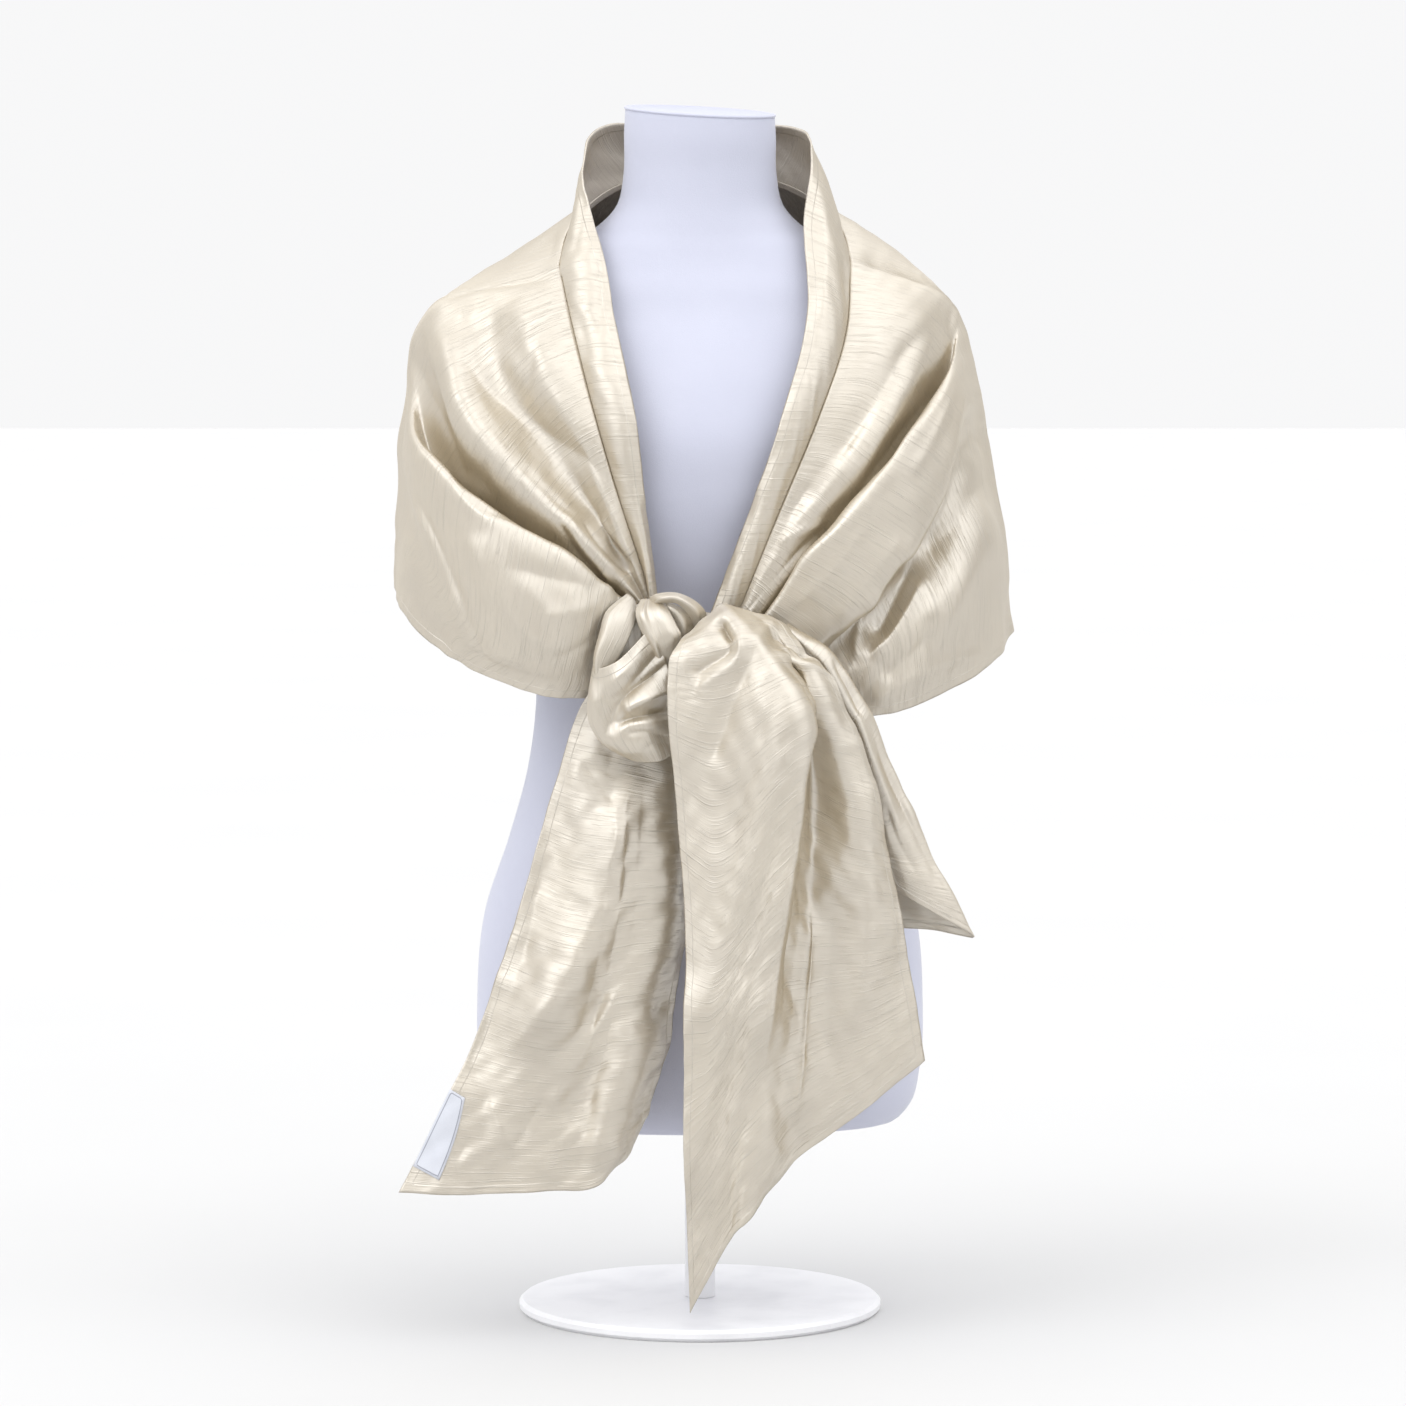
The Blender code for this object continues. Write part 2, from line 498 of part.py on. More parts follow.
def label_grid(tail):
    """The label, laid flat on the front of the left tail."""
    across = np.linspace(0, 1, LABEL_POINTS[1])[None, :, None]
    down = np.linspace(0, 1, LABEL_POINTS[0])[:, None, None]
    corners = np.array(LABEL)
    left = corners[0, 0] * (1 - down) + corners[0, 1] * down
    right = corners[1, 0] * (1 - down) + corners[1, 1] * down
    flat = left * (1 - across) + right * across
    depth = foremost([tail])[cell_of(flat[..., 0] + 0.35), cell_of(flat[..., 1])]
    depth = depth.min() + (flat[..., 1] - flat[..., 1].mean()) * 0
    return np.stack([flat[..., 0], depth - (SILK + LABEL_WALL) / 2 - SEAM_GAP, flat[..., 1]], axis=-1)


def main():
    for old in list(bpy.data.objects):
        bpy.data.objects.remove(old)
    collection = bpy.data.collections.new("Evening stole")
    bpy.context.scene.collection.children.link(collection)
    silk = material("ivory silk", (0.78, 0.70, 0.56), 0.40)
    white = material("white form cover", (0.82, 0.82, 0.88), 0.55)
    metal = material("white painted stand", (0.80, 0.80, 0.82), 0.35)
    tape = material("white label tape", (0.88, 0.88, 0.88), 0.60)
    dress_form(white, collection)
    stand(metal, collection)

    left, right = front_net(LEFT_LINES), front_net(RIGHT_LINES)
    along, across = (np.linspace(0, 1, count) for count in FRONT_POINTS)
    gap = FORM_CLEARANCE + SILK / 2
    left_front = clear_of_form(surface(left, along, across), gap)
    right_front = clear_of_form(surface(right, along, across), gap)
    round_back = np.linspace(0.0022, 0.9978, BACK_POINTS[0])
    ribs = back_net(left[-1], right[-1])
    back = clear_of_form(surface(ribs, round_back, np.linspace(0, 1, BACK_POINTS[1])), gap)
    cloth("wrap_left_front", left_front, silk, collection)
    cloth("wrap_right_front", right_front[::-1], silk, collection)
    cloth("wrap_back", back, silk, collection)
    edges = (left_front[:, 0], back[:, 0], right_front[:, 0])
    band = clear_of_form(band_grid(edges, (along, round_back, along)), FORM_CLEARANCE + BAND_SILK / 2)
    cloth("neck_band", band, silk, collection, BAND_SILK)

    core = knot_core(silk, collection)
    wraps = [left_front, right_front, band, core]
    tail_left = in_front_of(piece(TAIL_LEFT, TAIL_LEFT_POINTS), wraps, REST_TAIL_LEFT)
    tail_right = in_front_of(piece(TAIL_RIGHT, TAIL_RIGHT_POINTS), wraps, REST_TAIL_RIGHT, whole=True)
    loop = in_front_of(piece(LOOP, LOOP_POINTS), wraps + [tail_left], REST_LOOP, whole=True)
    laid = wraps + [tail_left, tail_right, loop]
    strap_low = in_front_of(piece(STRAP_LOW, STRAP_POINTS), laid, REST_STRAP_LOW)
    strap_top = in_front_of(piece(STRAP_TOP, STRAP_POINTS), laid + [strap_low], REST_STRAP_TOP)
    laid += [strap_low, strap_top]
    tail_front = in_front_of(piece(TAIL_FRONT, TAIL_FRONT_POINTS), laid, REST_TAIL_FRONT)
    cloth("tail_left", tail_left, silk, collection)
    cloth("tail_right", tail_right, silk, collection)
    cloth("bow_loop", loop, silk, collection)
    cloth("knot_strap_low", strap_low, silk, collection)
    cloth("knot_strap_top", strap_top, silk, collection)
    cloth("tail_front", tail_front, silk, collection)
    cloth("sewn_label", label_grid(tail_left), tape, collection, LABEL_WALL)


def material(name, colour, roughness):
    made = bpy.data.materials.new(name)
    made.use_nodes = True
    shader = made.node_tree.nodes["Principled BSDF"]
    shader.inputs["Base Color"].default_value = (*colour, 1)
    shader.inputs["Roughness"].default_value = roughness
    return made


main()
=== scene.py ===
"""The looks of the evening stole on its dress form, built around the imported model.

Metres, +Z up, the front towards -Y. The tables and the surfaces are the model's own, read at more places and
given the creases, hems, seams and slubs of crisp silk.
"""

import bmesh
import bpy
import numpy as np
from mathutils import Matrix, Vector


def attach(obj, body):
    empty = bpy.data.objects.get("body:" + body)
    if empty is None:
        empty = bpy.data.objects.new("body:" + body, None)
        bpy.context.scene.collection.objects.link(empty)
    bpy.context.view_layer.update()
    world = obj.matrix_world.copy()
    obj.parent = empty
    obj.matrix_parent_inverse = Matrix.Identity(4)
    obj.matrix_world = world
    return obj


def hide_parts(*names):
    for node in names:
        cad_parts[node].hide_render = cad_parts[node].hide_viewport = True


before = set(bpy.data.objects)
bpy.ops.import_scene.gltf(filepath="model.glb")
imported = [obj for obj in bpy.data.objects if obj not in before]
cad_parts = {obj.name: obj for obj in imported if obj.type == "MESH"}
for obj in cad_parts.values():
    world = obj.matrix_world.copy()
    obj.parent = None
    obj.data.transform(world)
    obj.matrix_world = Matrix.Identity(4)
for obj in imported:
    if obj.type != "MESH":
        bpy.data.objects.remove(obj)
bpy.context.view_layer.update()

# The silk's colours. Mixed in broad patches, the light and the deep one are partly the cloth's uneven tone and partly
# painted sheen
SILK_LIGHT = (0.365, 0.287, 0.170)
SILK_DEEP = (0.270, 0.202, 0.110)
SILK_SLUB = (0.21, 0.165, 0.10)
SOFTBOX_WAY = (-0.62, -0.18, 0.76)
SECOND_WAY = (0.58, -0.45, 0.68)
LABEL_CORNERS = ((450, 1089), (465, 1098), (439, 1180), (413, 1166))

# Walls and gaps
SILK = 0.0014
BAND_SILK = 0.0016
SEAM_GAP = 0.0003
FORM_CLEARANCE = 0.0008
# How far each piece's middle is set in front of the cloth it rests on; steep cloth needs less
REST_TAIL_LEFT = 0.0003
REST_TAIL_RIGHT = 0.0014
REST_LOOP = 0.0017
REST_STRAP_LOW = 0.0009
REST_STRAP_TOP = 0.0004
REST_TAIL_FRONT = 0.0004
FRONT_CELL = 0.001

# Dress form and its stand
NECK_TOP = 0.990
NECK_DISH = 0.005
NECK_SLANT = 0.11
NECK_TILT = -0.055
RING_POINTS = 120

# Sections of the form: height, half width, depth in front, depth behind, squareness
FORM_SECTIONS = (
    (0.156, 0.142, 0.074, 0.080, 2.2),
    (0.160, 0.162, 0.088, 0.094, 2.3),
    (0.173, 0.174, 0.098, 0.106, 2.3),
    (0.205, 0.182, 0.104, 0.116, 2.3),
    (0.260, 0.184, 0.106, 0.121, 2.3),
    (0.330, 0.178, 0.102, 0.117, 2.3),
    (0.395, 0.157, 0.094, 0.101, 2.2),
    (0.450, 0.142, 0.087, 0.086, 2.2),
    (0.505, 0.135, 0.084, 0.076, 2.2),
    (0.565, 0.137, 0.090, 0.078, 2.2),
    (0.625, 0.143, 0.105, 0.084, 2.2),
    (0.680, 0.157, 0.120, 0.089, 2.2),
    (0.720, 0.168, 0.124, 0.092, 2.2),
    (0.760, 0.184, 0.112, 0.094, 2.3),
    (0.799, 0.201, 0.093, 0.093, 2.3),
    (0.8227, 0.2015, 0.080, 0.0885, 2.2),
    (0.8417, 0.188, 0.072, 0.082, 2.2),
    (0.859, 0.161, 0.064, 0.077, 2.1),
    (0.8765, 0.1235, 0.058, 0.070, 2.0),
    (0.8925, 0.087, 0.054, 0.063, 2.0),
    (0.912, 0.068, 0.051, 0.055, 2.0),
    (0.938, 0.0625, 0.050, 0.050, 2.0),
    (0.970, 0.062, 0.052, 0.048, 2.0),
    (0.988, 0.061, 0.051, 0.047, 2.0),
)

# The wrap's lines, each from the knot round to the shoulder seam: where it passes the knot, near it, the chest,
# the front of the arm and the seam. The names say what each line is, in order from the neck to the hem.
LEFT_LINES = (
    ("neck seam", (-0.040, -0.127, 0.600), (-0.062, -0.133, 0.667), (-0.082, -0.130, 0.735),
     (-0.102, -0.093, 0.811), (-0.114, -0.054, 0.862)),
    ("panel ridge", (-0.042, -0.131, 0.598), (-0.069, -0.138, 0.662), (-0.098, -0.133, 0.727),
     (-0.132, -0.103, 0.799), (-0.144, -0.047, 0.853)),
    ("soft valley", (-0.045, -0.128, 0.596), (-0.076, -0.129, 0.652), (-0.118, -0.119, 0.711),
     (-0.160, -0.092, 0.772), (-0.176, -0.036, 0.846)),
    ("panel fold", (-0.048, -0.136, 0.594), (-0.088, -0.152, 0.640), (-0.138, -0.143, 0.684),
     (-0.188, -0.113, 0.744), (-0.210, -0.026, 0.836)),
    ("valley root", (-0.052, -0.126, 0.588), (-0.094, -0.127, 0.612), (-0.152, -0.113, 0.645),
     (-0.212, -0.077, 0.700), (-0.235, -0.016, 0.802)),
    ("flap lip", (-0.054, -0.140, 0.590), (-0.092, -0.159, 0.622), (-0.153, -0.152, 0.660),
     (-0.220, -0.102, 0.712), (-0.242, -0.012, 0.755)),
    ("flap middle", (-0.058, -0.142, 0.568), (-0.100, -0.170, 0.588), (-0.160, -0.160, 0.616),
     (-0.226, -0.098, 0.672), (-0.246, -0.010, 0.722)),
    ("flap crease", (-0.062, -0.138, 0.545), (-0.110, -0.163, 0.545), (-0.170, -0.148, 0.560),
     (-0.219, -0.104, 0.630), (-0.247, -0.008, 0.690)),
    ("back layer", (-0.063, -0.135, 0.531), (-0.114, -0.156, 0.531), (-0.182, -0.129, 0.553),
     (-0.232, -0.077, 0.613), (-0.250, -0.004, 0.650)),
    ("hem", (-0.065, -0.132, 0.518), (-0.122, -0.150, 0.520), (-0.192, -0.114, 0.544),
     (-0.238, -0.060, 0.576), (-0.251, 0.004, 0.602)),
)
RIGHT_LINES = (
    ("neck seam", (0.034, -0.128, 0.592), (0.064, -0.134, 0.667), (0.094, -0.126, 0.739),
     (0.118, -0.090, 0.811), (0.122, -0.046, 0.866)),
    ("panel ridge", (0.038, -0.133, 0.588), (0.079, -0.140, 0.661), (0.120, -0.124, 0.737),
     (0.144, -0.090, 0.811), (0.152, -0.040, 0.860)),
    ("panel fold", (0.043, -0.134, 0.583), (0.089, -0.141, 0.653), (0.138, -0.126, 0.725),
     (0.172, -0.083, 0.801), (0.182, -0.031, 0.849)),
    ("slit root", (0.050, -0.124, 0.575), (0.101, -0.122, 0.634), (0.157, -0.101, 0.697),
     (0.200, -0.052, 0.768), (0.207, -0.021, 0.831)),
    ("flap lip", (0.050, -0.140, 0.580), (0.092, -0.151, 0.640), (0.147, -0.136, 0.703),
     (0.196, -0.080, 0.770), (0.217, -0.014, 0.809)),
    ("flap middle", (0.068, -0.141, 0.566), (0.119, -0.152, 0.627), (0.171, -0.132, 0.690),
     (0.206, -0.080, 0.757), (0.224, -0.011, 0.783)),
    ("flap crease", (0.084, -0.133, 0.551), (0.144, -0.139, 0.608), (0.190, -0.115, 0.671),
     (0.213, -0.074, 0.742), (0.230, -0.010, 0.755)),
    ("flap back", (0.082, -0.115, 0.540), (0.132, -0.112, 0.590), (0.176, -0.087, 0.648),
     (0.210, -0.056, 0.722), (0.236, -0.008, 0.717)),
    ("back layer", (0.096, -0.117, 0.523), (0.146, -0.128, 0.551), (0.195, -0.111, 0.594),
     (0.233, -0.060, 0.652), (0.249, -0.004, 0.650)),
    ("hem", (0.106, -0.115, 0.503), (0.148, -0.119, 0.503), (0.192, -0.098, 0.517),
     (0.241, -0.052, 0.543), (0.257, 0.002, 0.563)),
)
# The same ten lines where they cross the middle of the back: depth behind the axis and height
BACK_DEPTH = (0.078, 0.086, 0.095, 0.103, 0.110, 0.118, 0.127, 0.137, 0.149, 0.163)
BACK_HEIGHT = (0.941, 0.906, 0.872, 0.836, 0.799, 0.760, 0.719, 0.676, 0.632, 0.585)
SHOULDER_LIFT = (0.000, 0.0105, 0.0134, 0.0085, 0.002, 0.000, 0.000, 0.000, 0.000, 0.000)
BACK_SQUARENESS = 0.82

# The free edge of the neck band at the same places as the neck seam, then over the shoulders and the back
BAND_LEFT = ((-0.034, -0.130, 0.596), (-0.043, -0.131, 0.667), (-0.050, -0.141, 0.735),
             (-0.067, -0.101, 0.811), (-0.078, -0.064, 0.872))
BAND_RIGHT = ((0.010, -0.129, 0.589), (0.040, -0.132, 0.667), (0.064, -0.137, 0.739),
              (0.086, -0.094, 0.826), (0.084, -0.044, 0.902))
BAND_BACK = ((-0.095, -0.012, 0.936), (-0.080, 0.036, 0.978), (0.000, 0.070, 0.976),
             (0.072, 0.040, 0.978), (0.091, -0.001, 0.958))
BAND_BULGE = 0.006
BAND_STEP = 0.0024

# The hidden middle of the knot: centre and radii
KNOT_CENTRE = (-0.003, -0.1330, 0.557)
KNOT_RADII = (0.031, 0.0245, 0.031)

# The tails' lines, each from the knot down to the hem
TAIL_FRONT = (
    ("left edge", (-0.006, -0.158, 0.570), (-0.023, -0.186, 0.558), (-0.025, -0.193, 0.520),
     (-0.018, -0.188, 0.439), (-0.009, -0.178, 0.317), (-0.012, -0.169, 0.173), (-0.008, -0.160, 0.026)),
    ("left panel", (0.006, -0.160, 0.579), (0.000, -0.192, 0.561), (0.008, -0.200, 0.510),
     (0.014, -0.194, 0.422), (0.016, -0.183, 0.309), (0.011, -0.173, 0.197), (0.018, -0.163, 0.075)),
    ("fold crest", (0.022, -0.162, 0.588), (0.042, -0.196, 0.571), (0.066, -0.207, 0.534),
     (0.081, -0.206, 0.485), (0.078, -0.197, 0.389), (0.062, -0.185, 0.269), (0.046, -0.170, 0.113)),
    ("fold root", (0.034, -0.156, 0.585), (0.055, -0.184, 0.569), (0.076, -0.190, 0.531),
     (0.086, -0.182, 0.476), (0.086, -0.175, 0.384), (0.079, -0.168, 0.273), (0.070, -0.160, 0.144)),
    ("right panel", (0.046, -0.156, 0.582), (0.070, -0.182, 0.566), (0.094, -0.189, 0.525),
     (0.113, -0.188, 0.461), (0.127, -0.181, 0.373), (0.131, -0.172, 0.285), (0.129, -0.163, 0.189)),
    ("right edge", (0.057, -0.152, 0.578), (0.086, -0.174, 0.560), (0.109, -0.179, 0.514),
     (0.134, -0.176, 0.449), (0.155, -0.168, 0.366), (0.168, -0.161, 0.297), (0.179, -0.154, 0.229)),
)
TAIL_LEFT = (
    ("left edge", (-0.062, -0.156, 0.551), (-0.094, -0.150, 0.513), (-0.117, -0.148, 0.444),
     (-0.138, -0.149, 0.368), (-0.165, -0.150, 0.288), (-0.199, -0.151, 0.204), (-0.241, -0.152, 0.122)),
    ("left panel", (-0.053, -0.157, 0.555), (-0.075, -0.154, 0.511), (-0.088, -0.158, 0.436),
     (-0.100, -0.160, 0.356), (-0.120, -0.161, 0.276), (-0.148, -0.160, 0.196), (-0.183, -0.158, 0.121)),
    ("middle", (-0.042, -0.157, 0.556), (-0.053, -0.153, 0.504), (-0.056, -0.154, 0.432),
     (-0.062, -0.155, 0.356), (-0.077, -0.155, 0.276), (-0.098, -0.155, 0.196), (-0.124, -0.155, 0.124)),
    ("right panel", (-0.030, -0.156, 0.553), (-0.032, -0.152, 0.496), (-0.026, -0.156, 0.428),
     (-0.028, -0.158, 0.360), (-0.043, -0.159, 0.284), (-0.061, -0.158, 0.208), (-0.080, -0.156, 0.129)),
    ("right edge", (-0.020, -0.154, 0.547), (-0.014, -0.146, 0.486), (-0.006, -0.140, 0.428),
     (-0.010, -0.138, 0.360), (-0.021, -0.138, 0.288), (-0.040, -0.139, 0.212), (-0.058, -0.141, 0.164)),
)
TAIL_RIGHT = (
    ("front edge", (0.060, -0.142, 0.570), (0.088, -0.154, 0.543), (0.115, -0.154, 0.476),
     (0.135, -0.147, 0.412), (0.153, -0.141, 0.368)),
    ("front layer", (0.066, -0.145, 0.575), (0.097, -0.160, 0.550), (0.126, -0.160, 0.488),
     (0.154, -0.152, 0.412), (0.185, -0.144, 0.348)),
    ("outer fold", (0.070, -0.138, 0.577), (0.103, -0.150, 0.556), (0.136, -0.148, 0.504),
     (0.172, -0.141, 0.424), (0.219, -0.132, 0.327)),
    ("back layer", (0.067, -0.132, 0.573), (0.098, -0.137, 0.545), (0.127, -0.133, 0.484),
     (0.154, -0.127, 0.411), (0.187, -0.121, 0.331)),
    ("back edge", (0.062, -0.130, 0.569), (0.090, -0.134, 0.538), (0.115, -0.128, 0.474),
     (0.133, -0.122, 0.408), (0.153, -0.117, 0.333)),
)
# The loop's lines, each from the knot behind, out to the turn and back to the knot in front
LOOP = (
    ("mouth", (-0.047, -0.152, 0.594), (-0.067, -0.162, 0.583), (-0.084, -0.173, 0.545),
     (-0.066, -0.184, 0.549), (-0.043, -0.174, 0.571)),
    ("upper", (-0.043, -0.160, 0.574), (-0.063, -0.164, 0.560), (-0.087, -0.175, 0.521),
     (-0.056, -0.192, 0.527), (-0.026, -0.176, 0.550)),
    ("middle", (-0.040, -0.162, 0.551), (-0.057, -0.164, 0.532), (-0.087, -0.176, 0.501),
     (-0.048, -0.194, 0.505), (-0.022, -0.178, 0.526)),
    ("lower", (-0.035, -0.162, 0.523), (-0.049, -0.164, 0.507), (-0.076, -0.175, 0.484),
     (-0.042, -0.190, 0.487), (-0.019, -0.177, 0.503)),
    ("underside", (-0.030, -0.161, 0.503), (-0.042, -0.164, 0.490), (-0.055, -0.173, 0.472),
     (-0.034, -0.181, 0.470), (-0.015, -0.176, 0.480)),
)
# The straps that wind over the knot, by their edges and middles
STRAP_LOW = (
    ("left edge", (-0.048, -0.168, 0.588), (-0.052, -0.183, 0.574), (-0.043, -0.188, 0.556),
     (-0.030, -0.178, 0.542)),
    ("middle", (-0.038, -0.170, 0.590), (-0.038, -0.188, 0.573), (-0.032, -0.190, 0.561),
     (-0.022, -0.180, 0.549)),
    ("right edge", (-0.030, -0.166, 0.589), (-0.024, -0.180, 0.578), (-0.019, -0.182, 0.566),
     (-0.015, -0.174, 0.556)),
)
STRAP_TOP = (
    ("upper edge", (-0.042, -0.160, 0.597), (-0.030, -0.164, 0.601), (-0.012, -0.162, 0.597),
     (0.003, -0.149, 0.584)),
    ("middle", (-0.037, -0.174, 0.591), (-0.027, -0.178, 0.593), (-0.013, -0.172, 0.586),
     (-0.002, -0.152, 0.574)),
    ("lower edge", (-0.031, -0.176, 0.584), (-0.024, -0.180, 0.584), (-0.014, -0.172, 0.577),
     (-0.007, -0.153, 0.566)),
)
# The blank sewn label's corners on the left tail, in the front view: across and height
LABEL = (((-0.199, 0.2025), (-0.2285, 0.143)), ((-0.1875, 0.196), (-0.209, 0.132)))
LABEL_WALL = 0.0006

# Points along and across each piece of cloth
FRONT_POINTS = (16, 27)
BACK_POINTS = (15, 18)
BAND_POINTS = 4
TAIL_FRONT_POINTS = (22, 13)
TAIL_LEFT_POINTS = (20, 12)
TAIL_RIGHT_POINTS = (13, 12)
LOOP_POINTS = (17, 13)
STRAP_POINTS = (10, 7)
LABEL_POINTS = (5, 3)


def smooth_curve(rows, at, knots=None):
    """A smooth curve through rows, read at places between 0 and 1. Rows sit at the knots, or evenly spaced."""
    rows = np.asarray(rows, float)
    knots = np.linspace(0, 1, len(rows)) if knots is None else np.asarray(knots, float)
    shape = (-1,) + (1,) * (rows.ndim - 1)
    widths = np.diff(knots).reshape(shape)
    slopes = np.diff(rows, axis=0) / widths
    tangents = np.concatenate([slopes[:1], np.zeros_like(rows[2:]), slopes[-1:]])
    tangents[1:-1] = (slopes[:-1] * widths[1:] + slopes[1:] * widths[:-1]) / (widths[1:] + widths[:-1])
    at = np.clip(np.asarray(at, float), 0, 1)
    span = np.clip(np.searchsorted(knots, at, side="right") - 1, 0, len(rows) - 2)
    width = widths[span]
    t = ((at - knots[span]) / np.diff(knots)[span]).reshape(shape)
    return (
        rows[span] * (1 + 2 * t) * (1 - t) ** 2
        + rows[span + 1] * t * t * (3 - 2 * t)
        + tangents[span] * width * t * (1 - t) ** 2
        + tangents[span + 1] * width * t * t * (t - 1)
    )


def even_places(rows):
    """Knots in proportion to the mean distance from each row of points to the next."""
    steps = np.linalg.norm(np.diff(rows, axis=0), axis=-1)
    steps = steps.reshape(len(steps), -1).mean(1)
    return np.concatenate([[0], np.cumsum(steps)]) / steps.sum()


def surface(net, along, across):
    """A grid of points on the smooth surface through a net of control points."""
    net = np.asarray(net, float)
    rows = smooth_curve(net, along, even_places(net))
    columns = rows.transpose(1, 0, 2)
    return smooth_curve(columns, across, even_places(net.transpose(1, 0, 2))).transpose(1, 0, 2)


def form_table(count):
    """The form's sections read smoothly at count heights, evenly along its side."""
    table = np.array(FORM_SECTIONS)
    knots = even_places(table[:, None, :2])
    return smooth_curve(table, np.linspace(0, 1, count), knots)


def form_section(height, table=[]):
    """Half width, front depth, back depth and squareness of the form at each height."""
    if not table:
        table.append(form_table(240))
    rows = table[0]
    return [np.interp(height, rows[:, 0], rows[:, column]) for column in (1, 2, 3, 4)]


def form_level(x, y, z):
    """Below 1 inside the form, above 1 outside it."""
    half, front, back, power = form_section(z)
    depth = np.where(y < 0, front, back)
    return (np.abs(x) / half) ** power + (np.abs(y) / depth) ** power


def clear_of_form(points, gap):
    """Moves points that lie within gap of the form out of it: upwards on the shoulders, sideways below them."""
    x, y, z = (points[..., i].copy() for i in range(3))
    shoulder_start = 0.80
    heights = np.linspace(shoulder_start, 0.93, 131)
    inward = 1 - gap / np.maximum(np.hypot(x, y), 0.03)
    filled = form_level((x * inward)[..., None], (y * inward)[..., None], heights) < 1
    top = np.where(filled, heights, 0).max(-1)
    low = (top > 0) & (z > shoulder_start) & (z < top + gap)
    z = np.where(low, top + gap, z)
    half, front, back, power = form_section(z)
    depth = np.where(y < 0, front, back) + gap
    level = ((np.abs(x) / (half + gap)) ** power + (np.abs(y) / depth) ** power) ** (1 / power)
    push = np.where((level < 1) & ~low, 1 / np.maximum(level, 0.2), 1)
    return np.stack([x * push, y * push, z], axis=-1)


def finer(grid, parts):
    """The grid with each quad cut into parts by parts."""
    for axis in (0, 1):
        count = grid.shape[axis]
        places = np.linspace(0, count - 1, parts * (count - 1) + 1)
        low = np.minimum(places.astype(int), count - 2)
        shape = (-1, 1, 1) if axis == 0 else (1, -1, 1)
        share = (places - low).reshape(shape)
        grid = np.take(grid, low, axis) * (1 - share) + np.take(grid, low + 1, axis) * share
    return grid


def foremost(laid, reach=1, parts=24):
    """The foremost depth of the laid cloth in each cell of the front view, spread by reach cells."""
    depth = np.full((700, 1040), 1.0)
    for grid in laid:
        points = finer(grid, parts).reshape(-1, 3)
        np.minimum.at(depth, (cell_of(points[:, 0] + 0.35), cell_of(points[:, 2])), points[:, 1])
    for axis in (0, 1):
        for _ in range(reach):
            depth = np.minimum(depth, np.minimum(np.roll(depth, 1, axis), np.roll(depth, -1, axis)))
    return depth


def cell_of(length):
    return np.clip((length / FRONT_CELL).astype(int), 0, None)


def in_front_of(grid, laid, gap, whole=False, ease=8):
    """Rests a grid on the front of the cloth laid before it, the gap away, and eases any push out over the grid.

    A piece that folds back behind itself moves as a whole, so that its layers stay apart.
    """
    parts = 16
    depth = foremost(laid)
    points = finer(grid, parts)
    laid_depth = depth[cell_of(points[..., 0] + 0.35), cell_of(points[..., 2])]
    needed = np.where(laid_depth > 0.9, -1, points[..., 1] - (laid_depth - gap))
    slack = min(needed.max(), 0)
    needed = np.maximum(needed, 0)
    push = np.zeros(grid.shape[:2])
    for i in range(grid.shape[0]):
        for j in range(grid.shape[1]):
            rows = slice(max((i - 1) * parts, 0), (i + 1) * parts + 1)
            columns = slice(max((j - 1) * parts, 0), (j + 1) * parts + 1)
            push[i, j] = needed[rows, columns].max()
    for _ in range(ease):
        wide = np.pad(push, 1, mode="edge")
        mean = (wide[:-2, 1:-1] + wide[2:, 1:-1] + wide[1:-1, :-2] + wide[1:-1, 2:]) / 4
        push = np.maximum(push, mean)
    moved = grid.copy()
    moved[..., 1] -= slack + (push.max() if whole else push)
    return moved


def form_ring(height, half, front, back, power, shrink=1.0, drop=0.0):
    """One closed ring of the form; high rings slant forward, as the cut of the neck does."""
    turns = np.linspace(0, 2 * np.pi, RING_POINTS, endpoint=False)
    cosine, sine = np.cos(turns), np.sin(turns)
    x = half * shrink * np.sign(cosine) * np.abs(cosine) ** (2 / power)
    depth = np.where(sine < 0, front, back)
    y = depth * shrink * np.sign(sine) * np.abs(sine) ** (2 / power)
    cut = np.clip((height - 0.94) / (NECK_TOP - 0.94), 0, 1)
    slant = cut * (NECK_SLANT * y + NECK_TILT * x)
    return np.stack([x, y, height - drop + slant], axis=-1)


def front_net(lines):
    """The control net of one front: its ribs from the knot to the shoulder seam, each from the neck to the hem."""
    return np.array([line[1:] for line in lines]).transpose(1, 0, 2)


def back_net(left_seam, right_seam, middles=7):
    """Ribs round the back, from one shoulder seam to the other."""
    ribs = [left_seam]
    for turn in np.linspace(0, np.pi, middles + 2)[1:-1]:
        cosine, sine = np.cos(turn), np.sin(turn)
        side = left_seam if cosine > 0 else right_seam
        share = abs(cosine) ** BACK_SQUARENESS
        centre_x = 0.0
        x = centre_x + side[:, 0] * share
        y = side[:, 1] * abs(cosine) + np.array(BACK_DEPTH) * sine
        z = side[:, 2] + (np.array(BACK_HEIGHT) - side[:, 2]) * sine
        z = z + np.array(SHOULDER_LIFT) * abs(np.sin(2 * turn))
        ribs.append(np.stack([x, y, z], axis=-1))
    ribs.append(right_seam)
    return np.array(ribs)


